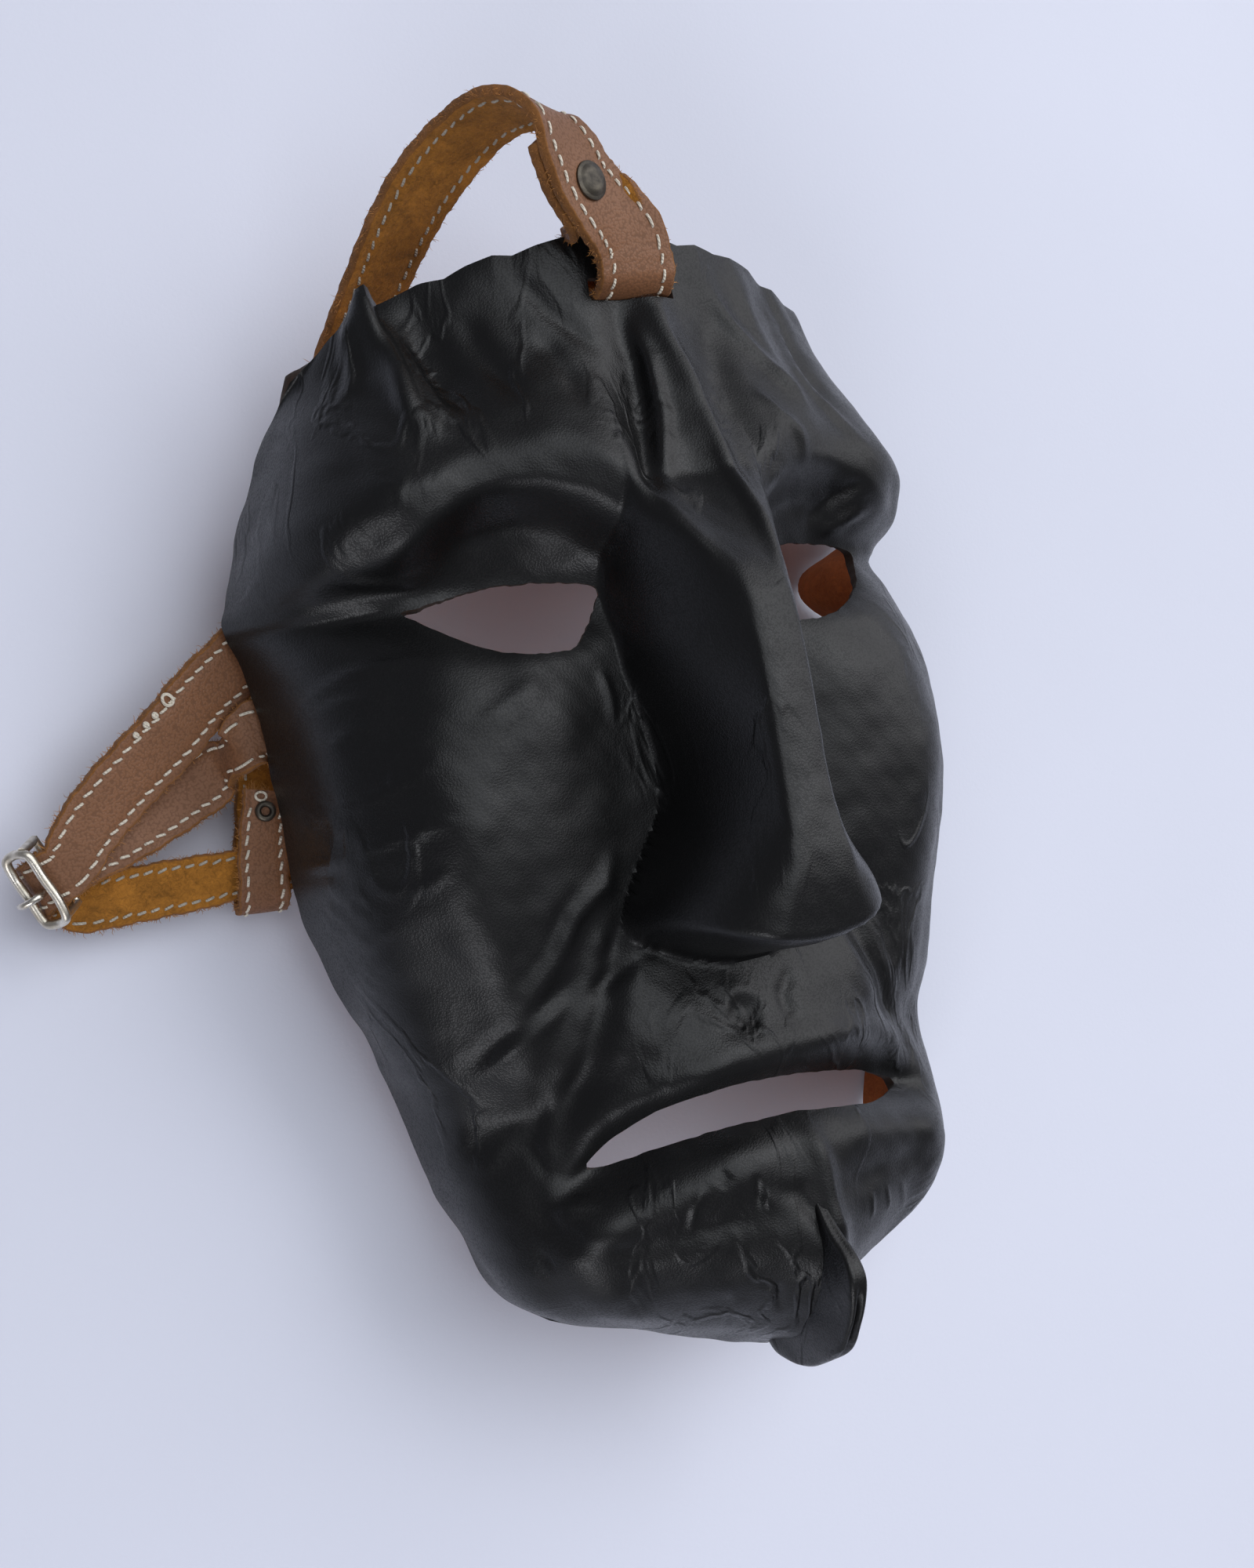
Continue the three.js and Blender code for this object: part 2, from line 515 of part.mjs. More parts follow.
function toSolid(geometry) {
  const position = geometry.getAttribute('position');
  const index = geometry.getIndex();
  const places = new Map();
  const vertices = [];
  const remap = [];
  for (let i = 0; i < position.count; i += 1) {
    const p = [position.getX(i), position.getY(i), position.getZ(i)];
    const key = p.map((v) => v.toFixed(4)).join(',');
    if (!places.has(key)) {
      places.set(key, vertices.length / 3);
      vertices.push(...p);
    }
    remap.push(places.get(key));
  }
  const order = index ? Array.from(index.array) : remap.map((_, i) => i);
  const triangles = [];
  for (let k = 0; k < order.length; k += 3) {
    const [a, b, c] = [remap[order[k]], remap[order[k + 1]], remap[order[k + 2]]];
    if (a !== b && b !== c && c !== a) triangles.push(a, b, c);
  }
  return new Manifold(new Mesh({
    numProp: 3, vertProperties: new Float32Array(vertices), triVerts: new Uint32Array(triangles),
  }));
}

function fromSolid(solid) {
  const mesh = solid.getMesh();
  return indexedGeometry(Array.from(mesh.vertProperties), Array.from(mesh.triVerts));
}

// Turned piece whose axis runs from one point along a direction.
function turned(profile, origin, direction, sides = 20) {
  const points = profile.map(([r, h]) => new THREE.Vector2(r, h));
  const geometry = new THREE.LatheGeometry(points, sides);
  const up = new THREE.Vector3(0, 1, 0);
  const turn = new THREE.Quaternion().setFromUnitVectors(up, direction.clone().normalize());
  geometry.applyQuaternion(turn);
  geometry.translate(origin.x, origin.y, origin.z);
  return toSolid(geometry);
}

const rod = (radius, from, to, origin, direction, sides) => turned(
  [[0, from], [radius, from], [radius, to], [0, to]], origin, direction, sides);

// The lying frame
const up = REST[1].clone().sub(REST[0]).cross(REST[2].clone().sub(REST[0])).normalize();
if (up.z < 0) up.negate();
const headward = orthoAcross(up, new THREE.Vector3(0, 1, 0));
const rightward = new THREE.Vector3().crossVectors(headward, up);
const lying = new THREE.Matrix4().makeBasis(rightward, headward, up).transpose();
lying.setPosition(0, 0, -REST[0].clone().applyMatrix4(lying).z);
const lie = (p) => p.applyMatrix4(lying);

function maskShell() {
  const outline = new THREE.Shape(FIN.map(([y, z]) => new THREE.Vector2(y, z)));
  const fin = new THREE.ExtrudeGeometry(outline, { depth: FIN_THICK, bevelEnabled: false });
  fin.applyMatrix4(new THREE.Matrix4().makeBasis(new THREE.Vector3(0, 1, 0), new THREE.Vector3(0, 0, 1),
    new THREE.Vector3(1, 0, 0)));
  fin.translate(FIN_X - FIN_THICK / 2, 0, 0);
  const joined = toSolid(maskSheet()).add(toSolid(fin));
  const geometry = fromSolid(joined);
  geometry.applyMatrix4(lying);
  return geometry;
}

// Point a little inside the mask wall, in the lying frame.
function insideWall(s, row) {
  const away = LEATHER + GAP + STRAP_THICK / 2 + 1.6;
  return lie(facePoint(s, row).addScaledVector(faceNormal(s, row), -away)).toArray();
}

// Direction across a strap that lies against the wall, up or down the face.
function wallAcross(s, row, sign) {
  const step = facePoint(s, row + 6 * sign).sub(facePoint(s, row - 6 * sign));
  return lie(step).sub(lie(new THREE.Vector3())).normalize().toArray();
}

// Buckle frame of reference
const BUCKLE_AT = new THREE.Vector3(-129.8, 1.3, 13.5);
const buckleAlong = new THREE.Vector3(0.895, 0.43, -0.125).normalize();
const buckleAcross = orthoAcross(buckleAlong, new THREE.Vector3(0.41, -0.90, -0.15));
const buckleOut = new THREE.Vector3().crossVectors(buckleAcross, buckleAlong);
const onBuckle = (along, side, out) => BUCKLE_AT.clone().addScaledVector(buckleAlong, along)
  .addScaledVector(buckleAcross, side).addScaledVector(buckleOut, out);

// Rear strap: from the right wall along the floor, under the mask, round through the buckle and back
// up to the left temple as the wide outer run.
function rearStrapStations() {
  const wall = [[0.84, 15], [0.9, 14.5], [0.95, 14]]
    .map(([s, row]) => [...insideWall(s, row), ...wallAcross(s, row, -1)]);
  wall.push([71.5, 12.6, 4.2, 0.03, -1, 0]);
  wall.push([65, 11.9, 1.9, 0.06, -1, 0]);
  const low = new THREE.Vector3(0, -0.99, -0.06);
  const turn = [270, 247, 224, 201, 178, 155, 132, 109, 86].map((angle) => {
    const share = (angle - 86) / 184;
    const late = share ** 3.4;
    const place = roundBar(BUCKLE_TURN_R, angle, BUCKLE_SHIFT * late);
    return [...place.toArray(), ...buckleAcross.clone().lerp(low, late).toArray(), BUCKLE_STRAP];
  });
  return [...wall, ...REAR_STRAP, ...turn, ...WIDE_RUN];
}

// Second strap: from the left wall out under the rim, down a step and along to the buckle.
function buckleStrapStations() {
  const wall = [[-0.85, 22], [-0.9, 22], [-0.94, 22]]
    .map(([s, row]) => [...insideWall(s, row), ...wallAcross(s, row, 1), 15.4]);
  const fold = [[5.5, 2.6], [1.6, 2.5], [-1.7, 1.8], [-2.5, 0], [-1.7, -1.8], [0.4, -2.45], [2.2, -2.5]]
    .map(([along, out]) => [...onBuckle(along, BUCKLE_LAP_SHIFT, out).toArray(),
      ...buckleAcross.clone().negate().toArray(), BUCKLE_STRAP]);
  return [...wall, ...SECOND_RUN, ...fold];
}

// Head strap: end behind the front leg, down inside the top edge, out through the slot, up past the
// rivet, over the arch, under the mask and round the rear strap.
function headStrapStations(frontFrames) {
  const lap = STRAP_THICK + GAP + 0.1;
  const behind = [0.16, 0.148, 0.135, 0.12, 0.105, 0.09].map((t) => {
    const { centre, w, n } = frontFrames[Math.round(t * (frontFrames.length - 1))];
    return [...centre.clone().addScaledVector(n, -lap).toArray(), ...w.toArray()];
  });
  behind.push([-2.6, 118.9, 71.8, 0.95, 0.05, -0.2]);
  return [...behind, ...SLOT_PASS, ...HEAD_FRONT];
}

// Rivet profiles, radius and height above the top of the strap; the lower cap is the same on both.
const capBelow = (grip) => [
  [0, -RIVET_HEAD_H - grip], [RIVET_HEAD_R * 0.75, -RIVET_HEAD_H - grip], [RIVET_HEAD_R, -grip],
  [RIVET_SHANK_R, -grip], [RIVET_SHANK_R, 0],
];
const CAP_ABOVE = [[RIVET_HEAD_R, 0], [RIVET_HEAD_R * 0.75, RIVET_HEAD_H], [0, RIVET_HEAD_H]];
const ROLL_ABOVE = [[ROLL_R, 0], [ROLL_R, 0.4], [ROLL_R - 0.5, 0.9], [ROLL_BORE_R + 0.2, 0.9],
  [ROLL_BORE_R, 0.9 - ROLL_BORE_DEPTH], [0, 0.9 - ROLL_BORE_DEPTH]];

// Round wire of even thickness along points; a closed one joins its ends.
function wire(points, radius, closed, count, sides = 6) {
  const path = new THREE.CatmullRomCurve3(points, closed, 'centripetal');
  const { normals, binormals } = path.computeFrenetFrames(count, closed);
  const rings = closed ? count : count + 1;
  const positions = [];
  for (let k = 0; k < rings; k += 1) {
    const at = path.getPointAt(k / count);
    for (let c = 0; c < sides; c += 1) {
      const angle = (c / sides) * Math.PI * 2;
      const p = at.clone().addScaledVector(normals[k], radius * Math.cos(angle))
        .addScaledVector(binormals[k], radius * Math.sin(angle));
      positions.push(...p.toArray());
    }
  }
  const index = [];
  for (let k = 0; k < count; k += 1) {
    for (let c = 0; c < sides; c += 1) {
      const a = k * sides + c;
      const b = k * sides + ((c + 1) % sides);
      const next = closed ? ((k + 1) % count) * sides : (k + 1) * sides;
      index.push(a, b, next + ((c + 1) % sides), a, next + ((c + 1) % sides), next + c);
    }
  }
  if (!closed) {
    for (let c = 1; c < sides - 1; c += 1) {
      const e = count * sides;
      index.push(0, c + 1, c, e, e + c, e + c + 1);
    }
  }
  return indexedGeometry(positions, index);
}

// Point round the hidden bar at a distance and angle, shifted along the bar.
function roundBar(radius, angle, side) {
  const a = (angle * Math.PI) / 180;
  return onBuckle(radius * Math.cos(a), side, radius * Math.sin(a));
}

// Frame: two rails over the strap, joined at the ends, with a leg at each end down to the bar.
function buckleFrame() {
  const half = BUCKLE_WIDTH / 2;
  const rail = (angle, shift, sides) => sides.map((s) => roundBar(BUCKLE_RAIL_R, angle, shift + s));
  const middle = (BUCKLE_NEAR + BUCKLE_FAR) / 2;
  const shift = (BUCKLE_NEAR_SHIFT + BUCKLE_FAR_SHIFT) / 2;
  const end = (side) => roundBar(BUCKLE_RAIL_R * 0.9, middle, shift + side * half);
  const straight = half - 2.8;
  const corner = (angle, side) => roundBar(BUCKLE_RAIL_R * 0.97, angle, shift + side * (half - 0.5));
  const points = [...rail(BUCKLE_NEAR, BUCKLE_NEAR_SHIFT, [-straight, 0, straight]),
    corner(BUCKLE_NEAR + 7, 1), end(1), corner(BUCKLE_FAR - 7, 1),
    ...rail(BUCKLE_FAR, BUCKLE_FAR_SHIFT, [straight, 0, -straight]),
    corner(BUCKLE_FAR - 7, -1), end(-1), corner(BUCKLE_NEAR + 7, -1)];
  const legs = [-1, 1].map((side) => {
    const place = shift - 0.4 + side * (half - 0.5);
    const foot = onBuckle(0, place, 0);
    const top = roundBar(BUCKLE_RAIL_R * 0.97, BUCKLE_NEAR + 5, place);
    return toSolid(wire([top, foot], BUCKLE_BAR_R, false, 1));
  });
  const bar = rod(BUCKLE_BAR_R, -half, half, onBuckle(0, shift - 0.4, 0), buckleAcross, 10);
  return Manifold.union([toSolid(wire(points, BUCKLE_WIRE_R, true, 32)), ...legs, bar]);
}

// Tongue: up from the bar through the strap holes and over the far rail.
function prongPoints() {
  const path = [
    [2.2, PRONG_ANGLE], [6, PRONG_ANGLE], [9, PRONG_ANGLE + 2], [10.9, BUCKLE_FAR - 8], [10.8, BUCKLE_FAR + 6],
  ];
  return path
    .map(([radius, angle]) => roundBar(radius, angle, PRONG_SIDE));
}

// Assembly
const part = new THREE.Group();
part.name = 'carnival_face_mask';

function addPiece(name, geometry, color, roughness, metalness = 0) {
  const flat = geometry.toNonIndexed();
  flat.computeVertexNormals();
  const mesh = new THREE.Mesh(flat, new THREE.MeshStandardMaterial({ color, roughness, metalness }));
  mesh.name = name;
  part.add(mesh);
}

const frontFrames = strapFrames(HEAD_FRONT, 116);
const headFrames = strapFrames(headStrapStations(frontFrames), 106);
const rearFrames = strapFrames(rearStrapStations(), 86);
const secondFrames = strapFrames(buckleStrapStations(), 48);

// Rivet through every layer below a frame of the head strap.
const nearest = (frames, point) => frames.reduce((best, frame) => (
  frame.centre.distanceTo(point) < best.centre.distanceTo(point) ? frame : best));
function rivet(frame, grip, above) {
  const top = frame.centre.clone().addScaledVector(frame.n, STRAP_THICK / 2 + GAP);
  return {
    piece: turned([...capBelow(grip), ...above], top, frame.n, 14),
    hole: rod(RIVET_SHANK_R + GAP, -grip - 1, 1, top, frame.n, 14),
  };
}
const crownFrame = nearest(frontFrames, new THREE.Vector3(...CROWN_RIVET_AT));
const tabFrame = nearest(headFrames, new THREE.Vector3(...TAB_RIVET_AT));
const crown = rivet(crownFrame, 2 * STRAP_THICK + 3 * GAP + 0.25, CAP_ABOVE);
const tab = rivet(tabFrame, STRAP_THICK + 2 * GAP, ROLL_ABOVE);
const prong = prongPoints();
const prongWay = prong[1].clone().sub(prong[0]);
const prongHole = rod(PRONG_R + GAP + 0.1, 1, 8, onBuckle(0, PRONG_SIDE, 0), prongWay, 14);

const pieces = {
  mask_shell: [maskShell(), 0x16181a, 0.45],
  head_strap: [fromSolid(toSolid(ribbon(headFrames)).subtract(crown.hole).subtract(tab.hole)), 0x70452f, 0.7],
  rear_strap: [fromSolid(toSolid(ribbon(rearFrames)).subtract(prongHole)), 0x70452f, 0.7],
  buckle_strap: [fromSolid(toSolid(ribbon(secondFrames)).subtract(prongHole)), 0x70452f, 0.7],
  buckle_frame: [fromSolid(buckleFrame()), 0xcfc9ba, 0.35],
  buckle_prong: [wire(prong, PRONG_R, false, 9), 0xcfc9ba, 0.35],
  crown_rivet: [fromSolid(crown.piece), 0x4c443a, 0.4],
  tab_rivet: [fromSolid(tab.piece), 0x4c443a, 0.4],
};
Object.entries(pieces).forEach(([name, [geometry, color, rough]]) => addPiece(name, geometry, color, rough));

const box = new THREE.Box3().setFromObject(part);
const centre = box.getCenter(new THREE.Vector3());
part.children.forEach((mesh) => mesh.geometry.translate(-centre.x, -centre.y, -box.min.z));

export default part;
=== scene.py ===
"""Carnival face mask: moulded black leather on a stitched brown strap harness, lying face up.

The solids of the frame give every place and size. This script adds the finished surfaces:
the folded and wrinkled face, the straps with their thread and raw edges, the buckle and the
rivets, and a plain stage. Lengths inside the functions are millimetres in the lying pose, before
the part's box is centred; those of the stage and the shaders are metres.
"""
import math

import bpy
import numpy as np
from bpy.props import FloatProperty, FloatVectorProperty, IntProperty, PointerProperty
from mathutils import Euler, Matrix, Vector


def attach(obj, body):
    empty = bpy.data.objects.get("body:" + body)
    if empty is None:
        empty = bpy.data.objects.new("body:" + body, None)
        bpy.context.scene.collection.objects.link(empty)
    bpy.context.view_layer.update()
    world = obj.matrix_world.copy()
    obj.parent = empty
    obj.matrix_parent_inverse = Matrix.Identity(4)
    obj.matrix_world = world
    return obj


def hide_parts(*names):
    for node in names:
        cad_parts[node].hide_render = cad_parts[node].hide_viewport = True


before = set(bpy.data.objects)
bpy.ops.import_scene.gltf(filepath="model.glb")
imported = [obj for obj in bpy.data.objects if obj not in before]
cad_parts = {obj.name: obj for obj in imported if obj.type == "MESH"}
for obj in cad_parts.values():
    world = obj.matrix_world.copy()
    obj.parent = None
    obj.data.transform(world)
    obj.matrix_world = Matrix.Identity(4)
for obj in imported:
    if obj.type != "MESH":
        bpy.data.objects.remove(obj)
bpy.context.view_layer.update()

bl_info = {
    "name": "Carnival Face Mask",
    "version": (1, 0, 0),
    "blender": (4, 5, 0),
    "location": "View3D > Sidebar > Mask",
    "description": "Black leather face mask with a stitched strap harness, on a plain stage",
    "category": "Add Mesh",
}

# From the modelling place to the row's frame: the lying pose turns the face, then the box is centred.
LYING = np.array([[0.99335, 0.0, 0.11513], [0.010998, 0.995427, -0.094894], [-0.114604, 0.095529, 0.988807]])
LIFT = 5.60196
SHIFT = np.array([-27.2994, 2.69342, -0.59847])

LEATHER = 2.4  # thickness of the face
STRAP_THICK = 2.4
STRAP_WIDTH = 18.5
GAP = 0.3  # air between two pieces that lie on each other
TUCK = 15  # how far the right temple's rim is bent in
TOP_Y = 119.5  # top and bottom edges of the face
BOTTOM_Y = -131
# Steps along the middle lines of the straps.
HEAD_STEPS, FRONT_STEPS, REAR_STEPS, BUCKLE_STEPS = 560, 116, 620, 260
LAP_CUT = 2.8  # how much narrower the head strap's riveted end is
FOLD_WIDTH, FOLD_R = 12, 5.7  # width, and radius of the middle, of a strap that turns round the bar
CORNER_R = 0.45  # rounding of a strap's cut edges
GROOVE_DEPTH, GROOVE_SPREAD = 0.2, 0.5  # of the line that the stitches lie in
# Places across the face, from the middle to the rim, that the numbers of a section stand for.
SECTION_S = np.array([0, 0.228, 0.517, 0.76, 0.9, 1])

# Cross sections of the face from the top edge to the bottom edge:
# centre y | z at the middle, at .3 and at .68 of the shoulder | shoulder x, z | wall x, z | rim x, y, z
SECTIONS = [
    (119.5, 51, 48, 37, 60, 26.5, 65, 22, 70, 98.5, 18),
    (108, 51, 48.5, 39, 62, 29, 70, 19, 73.5, 90.5, 9.5), (96, 53.5, 51, 42, 64, 34, 74, 22, 77.5, 81, 4.8),
    (84, 57, 55, 46.5, 66, 39, 77.5, 25, 81, 71, 2.3), (72, 60, 58.5, 50, 67, 43, 81, 25, 84.2, 62, 0.8),
    (60, 61, 58.5, 50, 66, 42, 82.5, 21, 87, 54, 0), (48, 58, 53.5, 46.5, 63, 37, 81, 18, 88, 48, 0.3),
    (36, 54, 51.5, 48.5, 64, 41.5, 79.5, 23, 85, 38, 1.8),
    (20, 53, 51.5, 52.5, 67, 45.5, 81, 28, 83.4, 22, 4), (0, 52, 52, 54.5, 68, 48.5, 81.5, 29, 83.2, 0, 5),
    (-18, 52, 51, 53, 66, 47, 79.5, 29, 82, -18, 5.5), (-36, 56, 54, 51, 61, 44.5, 75, 28, 76.6, -36, 6.5),
    (-54, 60.5, 59, 52, 57, 43, 70, 28, 70.2, -53, 7),
    (-68, 60, 58.5, 49.5, 53, 41, 65.5, 27, 66.8, -67, 8),
    (-80, 63, 61.5, 53, 53, 44.5, 64, 29, 64.2, -78.5, 9), (-92, 67, 64, 57, 53, 48, 62.5, 31, 61, -90, 10),
    (-104, 66, 62, 55, 51, 48, 60, 33, 58, -99, 13), (-116, 59, 56, 50, 45, 45.5, 55, 34.5, 56, -106.5, 18),
    (-125, 50, 48.5, 45, 38, 42, 49, 35, 53, -110, 24),
    (-131, 40.2, 40.2, 38.5, 34, 37, 43.5, 33, 48.5, -113, 29.5),
]
# Nose: y | ridge z | half width of the flat ridge | half width at the foot | roundness of the flank
NOSE = [
    (66, 63, 4, 17, 0.95), (58, 69, 4.2, 17, 0.95), (51, 75, 4.6, 17.5, 0.9), (45, 80.5, 5, 17.5, 0.75),
    (38, 84.5, 5.2, 17.5, 0.6), (28, 86.5, 5.6, 17.5, 0.45), (15, 87.6, 6, 14.5, 0.35),
    (3, 88.2, 6, 12.8, 0.35), (-6, 88.8, 6.2, 14.5, 0.45), (-15, 89.6, 6.8, 20, 0.7),
    (-24, 89.4, 8, 25.5, 0.9), (-31, 88, 9, 27, 1), (-45, 86, 9, 27, 1),
]
# Brow: distance from the middle | crest y | lower edge y | depth of the eye socket below it
BROW = [
    (0, 50, 44, 0), (8, 55, 48, 0), (16, 67, 56, 4.6), (28, 76, 64, 8.4), (42, 76, 66, 8.1),
    (56, 71.5, 60.5, 5.4), (68, 68, 54, 1.8), (80, 56, 49.5, 0.4), (92, 44, 46, 0),
]
# Forehead folds: start x, start y, end x, end y, height, half width
FOLDS = [
    (-4, 106, -14, 54, -2.4, 4.5), (3, 106, 8, 50, 3, 4.5), (18, 102, 15, 62, -2.2, 6),
    (-58, 109, -52, 80, 3.6, 3.5), (-46, 110, -42, 84, -2.2, 4), (34, 110, 40, 76, 1.8, 4),
    (46, 108, 52, 74, -1.8, 4),
]
EYE_LEFT = [
    (-60.9, 46), (-58.3, 45.4), (-52.1, 46.8), (-42.5, 48.5), (-34.4, 48.4), (-26.6, 47.7), (-19.2, 46.2),
    (-18.4, 43.9), (-20.6, 40), (-25.4, 34.4), (-28.9, 32.6), (-33, 32.2), (-39.6, 32.7), (-45.5, 34.2),
    (-51.7, 37.4), (-57.9, 42.6),
]
EYE_RIGHT = [
    (60.9, 46.6), (58.5, 48.4), (52.1, 49.8), (42.5, 51), (34.4, 51), (26.6, 49.8), (19.2, 47.4),
    (18.4, 43.9), (20.6, 40), (25.4, 34.4), (28.9, 32.6), (33, 32.2), (39.6, 32.7), (45.5, 34.2),
    (51.7, 37.4), (57.9, 42),
]
MOUTH = [
    (-43.8, -78.2), (-39.5, -74), (-34.4, -70.4), (-24, -66.2), (-10, -65.2), (0, -66), (13.9, -68.4),
    (27.4, -72), (36, -75.4), (43.8, -79.4), (35, -79.8), (26.2, -78.8), (12.6, -76), (0, -74.4),
    (-16.7, -74.4), (-28, -76.2), (-36, -77.8),
]
SLOT = [
    (-11.4, 110.8), (-11.4, 106.4), (9.6, 106.4), (9.6, 110.8),
]
# Side outline of the chin keel, y and z, from its front root round the tip to its back root
KEEL_EDGE = [
    (-93, 66.5), (-97, 69.4), (-100.5, 72.4), (-104.5, 76.2), (-108, 77.6), (-112, 77.2), (-117, 75.4),
    (-121, 73.2), (-126, 69.4), (-130.2, 62), (-133, 55), (-133.7, 49), (-133, 42.5), (-130.8, 40.2),
]
KEEL_ROOT = [
    (-93.5, 61), (-97, 61), (-101, 60.5), (-104, 60), (-108, 58.5), (-112, 57), (-115, 55), (-118, 52.5),
    (-121, 49.5), (-124, 46.5), (-126.5, 43.5), (-128, 42), (-129, 41), (-129.5, 40.4),
]
KEEL_X = 2
KEEL_HALF = 2.25
